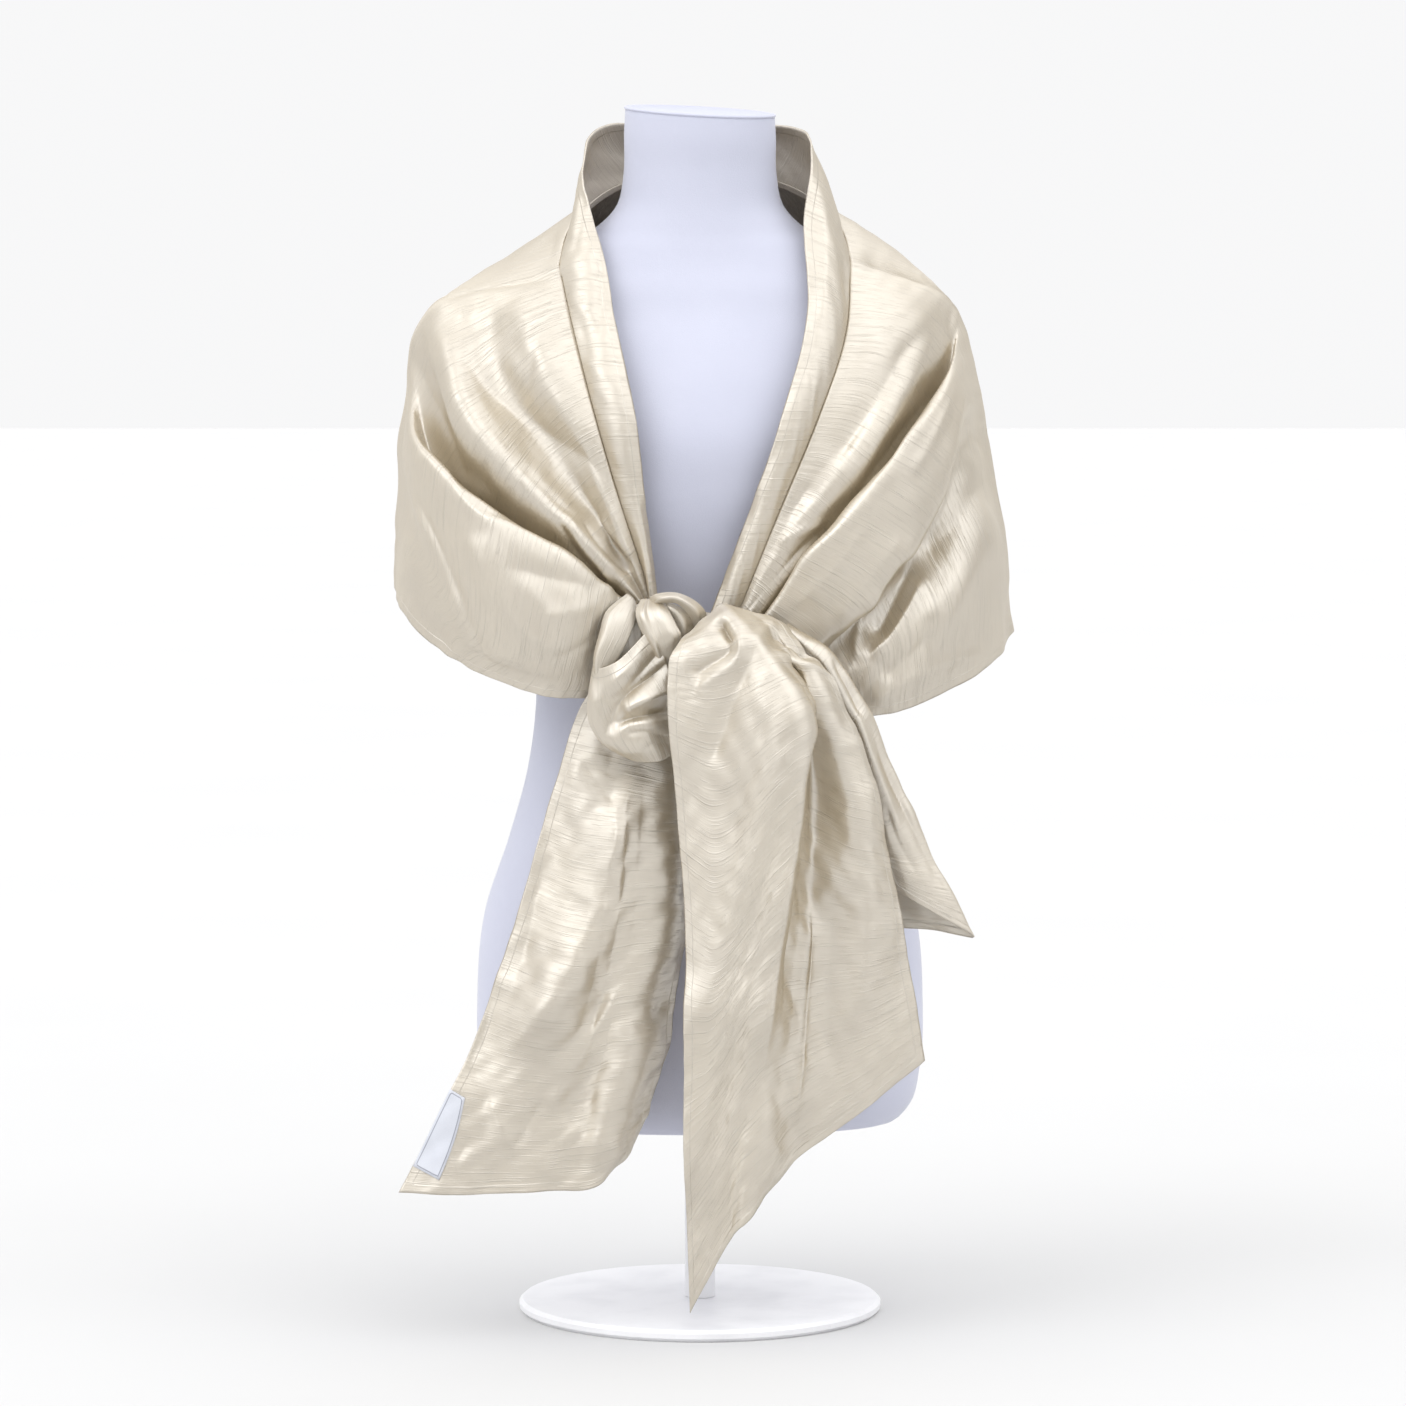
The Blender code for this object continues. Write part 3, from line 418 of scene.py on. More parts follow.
def band_grid(wrap_edges, places):
    """The stand-up band: from the wraps' neck edge to its own free edge, bulging a little outwards."""
    lower = np.concatenate([wrap_edges[0], wrap_edges[1][1:-1], wrap_edges[2][::-1]])
    at = np.concatenate([places[0], 1 + places[1][1:-1], 3 - places[2][::-1]]) / 3
    left, right = even_places(front_net(LEFT_LINES)), even_places(front_net(RIGHT_LINES))
    over = np.linspace(1 / 6, 5 / 6, 5)
    knots = np.concatenate([left, 1 + over, (3 - right)[::-1]]) / 3
    free = np.array(BAND_LEFT + BAND_BACK + BAND_RIGHT[::-1])
    upper = smooth_curve(free, at, knots)
    rise = upper - lower
    lower = lower + rise / np.linalg.norm(rise, axis=1)[:, None] * BAND_STEP
    along = np.gradient(lower, axis=0)
    outward = np.cross(rise, along)
    outward /= np.linalg.norm(outward, axis=1)[:, None]
    rows = []
    for share in np.linspace(0, 1, BAND_POINTS):
        rows.append(lower + (upper - lower) * share + outward * BAND_BULGE * np.sin(np.pi * share))
    return np.array(rows).transpose(1, 0, 2)


def piece(lines, points):
    """A grid from a table of lines: along the lines first, from the first line to the last across."""
    net = np.array([line[1:] for line in lines]).transpose(1, 0, 2)
    return surface(net, np.linspace(0, 1, points[0]), np.linspace(0, 1, points[1]))


# The photograph's camera: where it stands, what it looks at, and how far the picture reaches to each side there
EYE = (0, -4.2, 0.806)
AIM = (0, -0.12, 0.5122)
REACH = 0.5625
PICTURE = 1406
SHIFT = 3

# Folds that show in the photograph. Each is a smooth line through its pixels, running down or to the right, its
# half width in pixels on the left or lower side and on the right or upper side, and its height in millimetres.
# A groove is below zero.
LEFT_FOLDS = (
    (((466, 264), (505, 261), (540, 246), (563, 236)), 3, 11, -2.2),
    (((436, 300), (470, 290), (510, 284), (557, 277)), 3, 13, -2.8),
    (((445, 318), (490, 312), (545, 322)), 8, 8, 0.9),
    (((452, 345), (480, 378), (515, 410), (560, 445), (600, 470), (622, 492), (633, 515)), 10, 15, -3.6),
    (((430, 312), (448, 352), (462, 402), (490, 445), (530, 482), (582, 522)), 13, 12, 3.0),
    (((414, 345), (428, 390), (446, 425), (462, 462), (478, 500)), 8, 9, -2.6),
    (((424, 322), (438, 365), (450, 405), (460, 450), (475, 495)), 2.5, 13, 2.4),
    (((404, 426), (440, 465), (476, 509), (520, 531), (568, 556), (600, 581), (622, 598)), 15, 2.5, 2.6),
    (((563, 509), (580, 540), (600, 566), (618, 588)), 4, 4, 2.8),
    (((556, 514), (573, 546), (595, 572), (612, 590)), 3.5, 3, -2.6),
    (((576, 512), (598, 541), (618, 562), (632, 576)), 3, 3.5, -2.6),
    (((600, 515), (620, 541), (636, 561)), 3.5, 3.5, 2.4),
    (((622, 497), (632, 530), (641, 560)), 3, 4, -2.6),
    (((606, 536), (622, 556), (636, 573)), 2.5, 2.5, -1.8),
    (((500, 452), (545, 493), (582, 522)), 5, 8, -1.8),
    (((409, 482), (435, 540), (456, 590), (476, 640), (490, 668)), 3, 10, -2.6),
    (((455, 515), (485, 560), (508, 600), (530, 632), (565, 648), (606, 645)), 15, 26, 4.6),
    (((478, 530), (483, 570), (500, 612)), 8, 8, 1.3),
    (((400, 575), (425, 620), (452, 655)), 11, 9, -2.4),
    (((530, 308), (533, 345), (526, 405)), 2, 2, -0.5),
    (((535, 618), (570, 612), (606, 600)), 7, 9, 1.3),
    (((548, 660), (588, 640), (622, 612)), 6, 6, -1.6),
    (((500, 565), (560, 580), (612, 592)), 10, 10, -1.6),
)
RIGHT_FOLDS = (
    (((855, 258), (885, 268), (915, 277), (950, 292)), 3, 11, -2.4),
    (((840, 231), (862, 240), (890, 257), (925, 276)), 4, 4, -1.0),
    (((930, 325), (905, 355), (876, 400), (848, 440), (828, 468)), 15, 9, -3.4),
    (((948, 322), (915, 372), (885, 425), (860, 480), (835, 530), (800, 572)), 10, 11, 2.6),
    (((812, 482), (796, 502), (780, 520)), 9, 6, -1.8),
    (((830, 522), (800, 532), (775, 546)), 3, 4, 1.4),
    (((960, 352), (928, 402), (895, 446), (862, 488), (832, 524), (795, 558), (755, 598)), 8, 2.5, -2.6),
    (((967, 348), (938, 400), (906, 442), (872, 490), (842, 526), (802, 562), (762, 602)), 2.5, 13, 2.4),
    (((955, 386), (930, 440), (905, 482)), 5, 6, 1.2),
    (((870, 520), (830, 570), (790, 612)), 5, 7, 1.6),
    (((905, 530), (862, 585), (832, 624)), 5, 7, 1.6),
    (((968, 378), (956, 430), (945, 480), (939, 508), (914, 545), (880, 588), (855, 620), (828, 648)), 12, 2.5, 2.8),
    (((914, 556), (892, 600), (870, 642)), 9, 9, -5.0),
    (((926, 570), (909, 608), (889, 640), (868, 661)), 5, 9, 4.2),
    (((884, 582), (868, 602), (858, 627), (857, 650), (866, 664)), 3, 4, 2.6),
    (((992, 470), (955, 522), (918, 562)), 15, 15, -3.0),
    (((1004, 520), (966, 580), (938, 636)), 16, 14, 2.4),
    (((940, 630), (905, 660), (880, 682)), 11, 9, -3.0),
    (((992, 650), (940, 664), (892, 688), (868, 706)), 7, 9, 2.4),
    (((978, 410), (985, 440), (992, 470)), 8, 8, 1.2),
)
BAND_FOLDS = (
    (((584, 186), (579, 225), (568, 262)), 4, 8, -1.6),
    (((600, 240), (603, 290), (598, 340)), 7, 4, -1.4),
    (((612, 270), (616, 320), (628, 400)), 3, 3, 0.8),
    (((604, 132), (596, 170), (600, 215)), 4, 5, 1.2),
    (((843, 222), (852, 262), (848, 310)), 5, 4, -1.4),
    (((822, 200), (826, 260), (822, 330)), 4, 7, 1.2),
    (((808, 320), (812, 380), (800, 450)), 6, 5, -1.0),
    (((800, 150), (815, 185), (828, 230)), 5, 5, 1.1),
)
TAIL_LEFT_FOLDS = (
    (((646, 770), (614, 830), (600, 890), (578, 950), (545, 1010), (508, 1062)), 22, 46, 17.0),
    (((600, 995), (575, 1030), (548, 1062)), 14, 10, -2.6),
    (((636, 972), (611, 1010), (586, 1046), (562, 1082), (548, 1122)), 10, 16, 3.6),
    (((640, 1000), (624, 1060), (606, 1120), (590, 1172)), 14, 40, 7.0),
    (((580, 758), (598, 784), (616, 806)), 6, 6, -2.0),
    (((614, 745), (610, 762), (606, 780)), 8, 8, -2.0),
    (((560, 735), (545, 760), (535, 790)), 9, 9, -1.2),
    (((546, 850), (537, 900), (526, 950), (514, 992)), 9, 13, -2.4),
    (((500, 975), (480, 1035), (455, 1092)), 16, 13, -3.2),
    (((488, 1095), (500, 1125), (512, 1150)), 6, 6, 1.8),
    (((545, 1095), (528, 1125), (514, 1150)), 6, 6, -2.0),
    (((580, 1120), (560, 1150), (548, 1185)), 12, 10, 2.2),
    (((520, 962), (545, 957), (580, 958)), 4, 6, -0.9),
    (((560, 880), (600, 905), (640, 925)), 6, 6, 0.8),
    (((470, 1130), (458, 1160), (450, 1188)), 10, 8, -1.4),
)
TAIL_FRONT_FOLDS = (
    (((719, 619), (726, 631), (732, 643)), 6, 3, -7.0),
    (((733, 640), (724, 655), (705, 668), (688, 681)), 8, 3, -4.0),
    (((738, 626), (740, 650), (729, 667), (708, 681), (692, 698)), 3, 9, 3.4),
    (((757, 618), (749, 660), (737, 695), (722, 735), (706, 780)), 13, 10, -4.0),
    (((780, 640), (786, 690), (776, 740), (757, 820), (741, 890), (727, 960), (715, 1030), (706, 1100)), 44, 40, 10.0),
    (((766, 627), (785, 641), (800, 651), (820, 659)), 5, 8, -6.0),
    (((770, 648), (790, 659), (812, 668), (830, 684), (840, 714)), 5, 2.5, 3.0),
    (((788, 661), (799, 676), (804, 696)), 3, 3, -5.0),
    (((804, 692), (801, 740), (797, 790), (794, 830), (786, 890), (777, 950), (767, 1020), (762, 1085)), 16, 3, 6.5),
    (((808, 706), (806, 740), (803, 800), (799, 850), (792, 900), (784, 960), (774, 1030)), 2.5, 12, -5.5),
    (((826, 720), (818, 790), (812, 860)), 13, 12, -2.6),
    (((846, 700), (858, 760), (866, 830), (868, 930), (860, 1040)), 14, 20, 5.0),
    (((812, 880), (806, 980), (798, 1060), (790, 1140)), 8, 16, 6.0),
    (((834, 880), (830, 980), (826, 1080)), 12, 12, -2.4),
    (((880, 800), (896, 900), (904, 1000)), 7, 9, -1.6),
    (((672, 691), (692, 691), (716, 686)), 2.5, 2.5, -1.2),
    (((673, 700), (692, 699), (706, 697)), 2.5, 2.5, -0.9),
    (((752, 1130), (742, 1165), (734, 1200)), 5, 5, 1.2),
    (((778, 1140), (768, 1165), (760, 1185)), 4, 4, 1.0),
    (((692, 960), (687, 1040), (684, 1120), (684, 1230)), 9, 50, 8.0),
)
TAIL_RIGHT_FOLDS = (
    (((846, 690), (866, 742), (888, 800), (905, 850)), 5, 5, -3.0),
    (((868, 720), (893, 785), (922, 845), (952, 902)), 5, 7, 2.6),
    (((830, 655), (850, 690), (862, 720)), 4, 4, 2.2),
    (((885, 800), (898, 840), (920, 880)), 6, 5, 1.8),
    (((900, 790), (925, 850), (950, 895)), 4, 4, -1.2),
)
LOOP_FOLDS = (
    (((676, 655), (655, 674), (630, 690), (613, 706), (609, 724), (620, 742)), 4, 7, -5.0),
    (((680, 688), (655, 697), (634, 706), (622, 716)), 7, 4, 3.6),
    (((684, 712), (650, 716), (628, 721), (611, 728)), 9, 4, -6.0),
    (((594, 680), (597, 708), (605, 733), (626, 750), (658, 748)), 5, 8, 1.5),
    (((668, 640), (650, 662), (622, 690), (600, 705)), 4, 7, -3.0),
    (((646, 640), (632, 664), (606, 690)), 4, 5, 1.4),
    (((600, 700), (606, 720), (604, 740)), 3, 4, -1.0),
    (((618, 736), (645, 733), (674, 737)), 6, 4, -2.6),
    (((640, 752), (656, 744), (674, 744)), 3, 4, -1.0),
)
# Narrow cloth of the knot, as lines of (pixels across, pixels down, depth towards the back in millimetres)
ARCH = (
    ((645, 604, -146), (655, 595, -153), (675, 593, -157), (693, 600, -157), (705, 612, -153), (707, 628, -146)),
    ((650, 606, -153), (660, 599, -161), (676, 598, -165), (691, 606, -165), (700, 617, -161), (701, 632, -152)),
    ((655, 608, -149), (664, 603, -156), (676, 603, -159), (686, 611, -159), (693, 622, -155), (694, 636, -147)),
)
UNDER_ARCH = (
    ((656, 606, -148), (668, 603, -154), (681, 608, -156), (691, 620, -154), (697, 640, -148)),
    ((660, 606, -149), (669, 608, -158), (678, 616, -161), (686, 632, -160), (690, 652, -152)),
    ((662, 604, -147), (666, 612, -153), (671, 624, -155), (676, 641, -156), (679, 664, -150)),
)
THROAT = (
    ((641, 600, -151), (636, 612, -162), (640, 628, -168), (650, 648, -170), (661, 670, -164)),
    ((646, 599, -154), (643, 613, -168), (648, 630, -173), (656, 647, -174), (663, 670, -166)),
    ((649, 599, -151), (648, 612, -164), (654, 628, -170), (660, 646, -172), (665, 670, -165)),
    ((657, 599, -152), (660, 611, -165), (667, 626, -171), (673, 642, -172), (669, 670, -164)),
    ((664, 601, -149), (669, 611, -161), (676, 625, -167), (681, 639, -168), (672, 670, -161)),
)
LOOP_PANEL = (
    ((627, 594, -148), (607, 611, -159), (600, 632, -166), (594, 657, -170), (595, 679, -171)),
    ((631, 596, -150), (613, 613, -164), (605, 635, -171), (597, 659, -174), (597, 680, -173)),
    ((634, 600, -150), (626, 616, -163), (617, 639, -170), (606, 662, -173), (601, 681, -173)),
    ((636, 605, -149), (635, 620, -160), (627, 642, -167), (615, 664, -171), (605, 681, -172)),
)
# Soft swags of the back: places along it from one shoulder to the other and from the neck to the hem, in
# thousandths, with half widths below and above in the same
BACK_FOLDS = (
    (((60, 120), (300, 420), (500, 500), (700, 420), (940, 120)), 90, 60, 5.0),
    (((40, 300), (300, 610), (500, 680), (700, 610), (960, 300)), 60, 90, -4.0),
    (((30, 420), (260, 760), (480, 850)), 70, 70, 4.5),
    (((970, 420), (760, 740), (560, 830)), 70, 70, 4.5),
    (((420, 60), (440, 260), (470, 420)), 60, 60, 1.6),
    (((600, 60), (585, 240), (550, 400)), 60, 60, -1.6),
)


def seen(points):
    """Where points show in the photograph, in its pixels across and down."""
    eye, aim = np.array(EYE), np.array(AIM)
    ahead = (aim - eye) / np.linalg.norm(aim - eye)
    offset = points - eye
    scale = PICTURE / 2 * np.linalg.norm(aim - eye) / REACH / (offset @ ahead)
    across = PICTURE / 2 - SHIFT + offset[..., 0] * scale
    down = PICTURE / 2 - (offset @ np.cross((1, 0, 0), ahead)) * scale
    return np.stack([across, down], axis=-1)


def on_ray(pixels, depth):
    """The points that show at these pixels and lie at this depth, which runs towards +Y."""
    eye, aim = np.array(EYE), np.array(AIM)
    distance = np.linalg.norm(aim - eye)
    ahead = (aim - eye) / distance
    across = (pixels[..., 0] - PICTURE / 2 + SHIFT) * REACH / (PICTURE / 2)
    down = (pixels[..., 1] - PICTURE / 2) * REACH / (PICTURE / 2)
    rays = ahead * distance - down[..., None] * np.cross((1, 0, 0), ahead)
    rays[..., 0] += across
    return eye + rays * ((depth - eye[1]) / rays[..., 1])[..., None]


def fold_rise(places, folds, reach=1.4):
    """How far the folds lift each point, in metres: a crest with crisp, falling flanks along each fold's line."""
    rise = np.zeros(places.shape[:2])
    for points, left, right, height in folds:
        line = smooth_curve(np.array(points, float), np.linspace(0, 1, 80))
        way = np.gradient(line, axis=0)
        step = np.linalg.norm(way, axis=1)
        way /= step[:, None]
        low, high = line.min(0) - 5 * max(left, right), line.max(0) + 5 * max(left, right)
        near = ((places > low) & (places < high)).all(-1)
        offset = places[near][:, None] - line[None]
        closest = (offset**2).sum(-1).argmin(1)
        rows = np.arange(len(closest))
        side = offset[rows, closest, 0] * way[closest, 1] - offset[rows, closest, 1] * way[closest, 0]
        width = np.where(side < 0, left, right)
        past = (offset[rows, closest] * way[closest]).sum(-1) / step[closest]
        share = np.clip((closest + np.clip(past, -1, 1)) / 79, 0, 1)
        taper = ease_in(np.minimum(share, 1 - share), 0, 0.22)
        sharp = 0.35 * width
        flank = (np.sqrt(side**2 + sharp**2) - sharp) / width
        rise[near] += reach * height / 1000 * np.exp(-flank) * taper
    return rise


def ease_in(value, low, high):
    t = np.clip((value - low) / (high - low), 0, 1)
    return t * t * (3 - 2 * t)


def smooth_grid(grid, rows, columns):
    """The model's grid of points, read smoothly at more places each way."""
    fine = smooth_curve(grid, np.linspace(0, 1, rows))
    return smooth_curve(fine.transpose(1, 0, 2), np.linspace(0, 1, columns)).transpose(1, 0, 2)


def normals(grid):
    facing = np.cross(np.gradient(grid, axis=0), np.gradient(grid, axis=1))
    return facing / np.maximum(np.linalg.norm(facing, axis=-1), 1e-12)[..., None]


def lengths(grid, axis):
    """How far each point of the grid lies along that axis, in metres of cloth."""
    steps = np.linalg.norm(np.diff(grid, axis=axis), axis=-1)
    start = np.zeros_like(np.take(steps, [0], axis))
    return np.concatenate([start, np.cumsum(steps, axis)], axis)


def ripples(u, v, seed, wave, count=10):
    """Smooth, seeded unevenness, with waves about so long each way, between about -1 and 1."""
    source = np.random.RandomState(seed)
    total = np.zeros_like(u)
    for _ in range(count):
        along, across = source.uniform(0.5, 1.6, 2) / np.array(wave) * 2 * np.pi
        total += np.sin(along * u * source.choice((-1, 1)) + across * v + source.uniform(0, 2 * np.pi))
    return total / np.sqrt(count)


def silk_piece(name, grid, material, wall, hems=(), crosswise=True):
    """A sheet of silk with its wall and smooth shading.

    Its first UV map is in metres of cloth, for the slubs to follow. Its second gives the distance to the nearest of
    the hemmed edges, which are named by the side of the grid that they are.
    """
    rows, columns = grid.shape[:2]
    along, across = lengths(grid, 0), lengths(grid, 1)
    to_edge = np.ones((rows, columns))
    for side, distance in (("first row", along), ("last row", along[-1:] - along),
                           ("first column", across), ("last column", across[:, -1:] - across)):
        if side in hems:
            to_edge = np.minimum(to_edge, distance)
    middle = columns // 2
    along = along[:, middle : middle + 1] + 0 * along
    across = across - across[:, middle : middle + 1]
    u, v = (along, across) if crosswise else (across, along)
    index = np.arange(rows * columns).reshape(rows, columns)
    quads = np.stack([index[:-1, :-1], index[1:, :-1], index[1:, 1:], index[:-1, 1:]], -1).reshape(-1, 4)
    mesh = bpy.data.meshes.new(name)
    mesh.from_pydata(grid.reshape(-1, 3).tolist(), [], quads.tolist())
    for title, first, second in (("cloth", u, v), ("edge", to_edge, 0 * to_edge)):
        layer = mesh.uv_layers.new(name=title)
        corners = np.stack([first.reshape(-1), second.reshape(-1)], -1)[quads.reshape(-1)]
        layer.data.foreach_set("uv", corners.reshape(-1).astype(np.float32))
    made = bpy.data.objects.new(name, mesh)
    bpy.context.scene.collection.objects.link(made)
    mesh.materials.append(material)
    mesh.shade_smooth()
    thick = made.modifiers.new("Wall", "SOLIDIFY")
    thick.thickness = wall
    thick.offset = 0
    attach(made, "root")
    return made


def resting(grid, laid, gap=0.0016, ease=24):
    """Moves a finely read grid forwards wherever it would touch the cloth laid before it."""
    depth = foremost(laid, 2, 3)
    found = depth[cell_of(grid[..., 0] + 0.35), cell_of(grid[..., 2])]
    push = np.where(found > 0.9, 0, np.maximum(grid[..., 1] - (found - gap), 0))
    for step in range(ease):
        wide = np.pad(push, 1, mode="edge")
        sides = (wide[:-2, 1:-1], wide[2:, 1:-1], wide[1:-1, :-2], wide[1:-1, 2:])
        spread = np.max(sides, axis=0) if step < 7 else np.mean(sides, axis=0)
        push = np.maximum(push, spread)
    moved = grid.copy()
    moved[..., 1] -= push
    return moved


def evened(values, times):
    """Each value drawn towards its neighbours on the grid, so many times."""
    for _ in range(times):
        wide = np.pad(values, 1, mode="edge")
        values = (values + wide[:-2, 1:-1] + wide[2:, 1:-1] + wide[1:-1, :-2] + wide[1:-1, 2:]) / 5
    return values


def in_view(grid, depth_of_fold=0.010):
    """1 where the grid is the foremost layer of itself in the front view, easing to 0 for what lies behind."""
    depth = foremost([grid], 1, 3)
    found = depth[cell_of(grid[..., 0] + 0.35), cell_of(grid[..., 2])]
    share = 1 - ease_in(grid[..., 1] - found, 0.3 * depth_of_fold, depth_of_fold)
    return evened(share, 8)


def shader_of(name):
    made = bpy.data.materials.new(name)
    made.use_nodes = True
    return made, made.node_tree, made.node_tree.nodes["Principled BSDF"]


def noise(tree, source, scale, detail, ramp, roughness=0.5):
    """Stretched noise between 0 and 1: the source's coordinates scaled, then cut to the ramp's two ends."""
    mapping = tree.nodes.new("ShaderNodeMapping")
    mapping.inputs["Scale"].default_value = scale
    tree.links.new(source, mapping.inputs["Vector"])
    texture = tree.nodes.new("ShaderNodeTexNoise")
    texture.inputs["Scale"].default_value = 1
    texture.inputs["Detail"].default_value = detail
    texture.inputs["Roughness"].default_value = roughness
    tree.links.new(mapping.outputs["Vector"], texture.inputs["Vector"])
    cut = tree.nodes.new("ShaderNodeMapRange")
    cut.inputs["From Min"].default_value, cut.inputs["From Max"].default_value = ramp
    tree.links.new(texture.outputs["Fac"], cut.inputs["Value"])
    return cut.outputs["Result"]


def mixed(tree, share, first, second):
    """A colour between two others. Each may be a colour or an output."""
    mix = tree.nodes.new("ShaderNodeMix")
    mix.data_type = "RGBA"
    tree.links.new(share, mix.inputs["Factor"])
    for socket, value in ((mix.inputs["A"], first), (mix.inputs["B"], second)):
        if isinstance(value, tuple):
            socket.default_value = (*value, 1)
        else:
            tree.links.new(value, socket)
    return mix.outputs["Result"]


def scaled(tree, value, factor, added=0.0):
    node = tree.nodes.new("ShaderNodeMath")
    node.operation = "MULTIPLY_ADD"
    tree.links.new(value, node.inputs[0])
    node.inputs[1].default_value = factor
    node.inputs[2].default_value = added
    return node.outputs["Value"]


def ranged(tree, value, given, wanted):
    """The value moved from one range to another, and held within it."""
    node = tree.nodes.new("ShaderNodeMapRange")
    node.inputs["From Min"].default_value, node.inputs["From Max"].default_value = given
    node.inputs["To Min"].default_value, node.inputs["To Max"].default_value = wanted
    tree.links.new(value, node.inputs["Value"])
    return node.outputs["Result"]


def joined(tree, operation, first, second):
    node = tree.nodes.new("ShaderNodeMath")
    node.operation = operation
    tree.links.new(first, node.inputs[0])
    tree.links.new(second, node.inputs[1])
    return node.outputs["Value"]


def bumped(tree, shader, height, distance, strength):
    bump = tree.nodes.new("ShaderNodeBump")
    bump.inputs["Distance"].default_value = distance
    bump.inputs["Strength"].default_value = strength
    tree.links.new(height, bump.inputs["Height"])
    tree.links.new(bump.outputs["Normal"], shader.inputs["Normal"])


def silk_material():
    """Dupioni silk: slubs across the cloth, a fine uneven grain, a hem's line and a soft sheen."""
    made, tree, shader = shader_of("ivory dupioni silk")
    source = tree.nodes.new("ShaderNodeUVMap")
    source.uv_map = "cloth"
    place = source.outputs["UV"]
    slubs = noise(tree, place, (620, 15, 1), 1.5, (0.57, 0.70))
    short_slubs = noise(tree, place, (1050, 60, 1), 1.0, (0.61, 0.74))
    grain = noise(tree, place, (1300, 60, 1), 3.0, (0.25, 0.75))
    streaks = noise(tree, place, (240, 11, 1), 3.0, (0.30, 0.72))
    # Broad soft patches between the light and the deep tone: partly the dupioni's uneven colour, partly painted sheen,
    # darker patches that stand in for the mottling of the satin's sheen
    clouds = noise(tree, place, (10, 10, 1), 2.0, (0.30, 0.70))
    base = mixed(tree, clouds, SILK_LIGHT, SILK_DEEP)
    base = mixed(tree, scaled(tree, streaks, 0.35), base, SILK_DEEP)
    base = mixed(tree, scaled(tree, grain, 0.12), base, SILK_SLUB)
    base = mixed(tree, scaled(tree, slubs, 0.50), base, SILK_SLUB)
    base = mixed(tree, scaled(tree, short_slubs, 0.45), base, SILK_SLUB)
    edge = tree.nodes.new("ShaderNodeUVMap")
    edge.uv_map = "edge"
    apart = tree.nodes.new("ShaderNodeSeparateXYZ")
    tree.links.new(edge.outputs["UV"], apart.inputs["Vector"])
    hem = ranged(tree, apart.outputs["X"], (0.0072, 0.0080), (1, 0))
    line = joined(tree, "MULTIPLY", hem, ranged(tree, apart.outputs["X"], (0.0064, 0.0072), (0, 1)))
    base = mixed(tree, scaled(tree, line, 0.45), base, SILK_SLUB)
    tree.links.new(base, shader.inputs["Base Color"])
    rough = joined(tree, "ADD", scaled(tree, grain, 0.10, 0.42), scaled(tree, slubs, 0.10))
    tree.links.new(rough, shader.inputs["Roughness"])
    shader.inputs["IOR"].default_value = 3.0
    shader.inputs["Specular IOR Level"].default_value = 1.0
    shader.inputs["Specular Tint"].default_value = (1.0, 0.975, 0.92, 1)
    shader.inputs["Sheen Weight"].default_value = 0.05
    shader.inputs["Anisotropic"].default_value = 0.65
    lie = tree.nodes.new("ShaderNodeTangent")
    lie.direction_type = "UV_MAP"
    lie.uv_map = "cloth"
    tree.links.new(lie.outputs["Tangent"], shader.inputs["Tangent"])
    shader.inputs["Sheen Roughness"].default_value = 0.4
    height = joined(tree, "ADD", scaled(tree, grain, 0.18), scaled(tree, slubs, 0.9))
    height = joined(tree, "ADD", height, scaled(tree, short_slubs, 0.7))
    height = joined(tree, "ADD", height, scaled(tree, streaks, 0.9))
    height = joined(tree, "ADD", height, scaled(tree, hem, 1.6))
    bumped(tree, shader, height, 0.00034, 0.7)
    return made


def form_material():
    """A smooth white knitted cover."""
    made, tree, shader = shader_of("white jersey cover")
    place = tree.nodes.new("ShaderNodeTexCoord").outputs["Object"]
    knit = noise(tree, place, (1400, 1400, 900), 2.0, (0.3, 0.7))
    clouds = noise(tree, place, (14, 14, 9), 2.0, (0.3, 0.7))
    base = mixed(tree, clouds, (0.575, 0.59, 0.70), (0.545, 0.56, 0.67))
    base = mixed(tree, scaled(tree, knit, 0.18), base, (0.50, 0.52, 0.63))
    tree.links.new(base, shader.inputs["Base Color"])
    tree.links.new(scaled(tree, knit, 0.10, 0.62), shader.inputs["Roughness"])
    shader.inputs["Sheen Weight"].default_value = 0.25
    bumped(tree, shader, knit, 0.0003, 0.25)
    return made


def stand_material():
    """White satin paint on steel, with a faint orange-peel."""
    made, tree, shader = shader_of("white satin paint")
    place = tree.nodes.new("ShaderNodeTexCoord").outputs["Object"]
    peel = noise(tree, place, (420, 420, 420), 2.0, (0.3, 0.7))
    wear = noise(tree, place, (26, 26, 26), 3.0, (0.45, 0.75))
    base = mixed(tree, wear, (0.84, 0.84, 0.86), (0.78, 0.78, 0.80))
    tree.links.new(base, shader.inputs["Base Color"])
    tree.links.new(scaled(tree, wear, 0.12, 0.30), shader.inputs["Roughness"])
    bumped(tree, shader, peel, 0.0002, 0.15)
    return made


def tape_material():
    """Fine white woven tape."""
    made, tree, shader = shader_of("white woven tape")
    place = tree.nodes.new("ShaderNodeTexCoord").outputs["Object"]
    weave = noise(tree, place, (1800, 1800, 1800), 1.0, (0.3, 0.7))
    base = mixed(tree, scaled(tree, weave, 0.35), (0.66, 0.68, 0.74), (0.54, 0.56, 0.63))
    edge = tree.nodes.new("ShaderNodeUVMap")
    edge.uv_map = "edge"
    apart = tree.nodes.new("ShaderNodeSeparateXYZ")
    tree.links.new(edge.outputs["UV"], apart.inputs["Vector"])
    line = joined(tree, "MULTIPLY", ranged(tree, apart.outputs["X"], (0.0022, 0.0026), (1, 0)),
                  ranged(tree, apart.outputs["X"], (0.0014, 0.0018), (0, 1)))
    base = mixed(tree, scaled(tree, line, 0.8), base, (0.22, 0.23, 0.28))
    tree.links.new(base, shader.inputs["Base Color"])
    tree.links.new(scaled(tree, weave, 0.10, 0.50), shader.inputs["Roughness"])
    bumped(tree, shader, weave, 0.0002, 0.30)
    return made


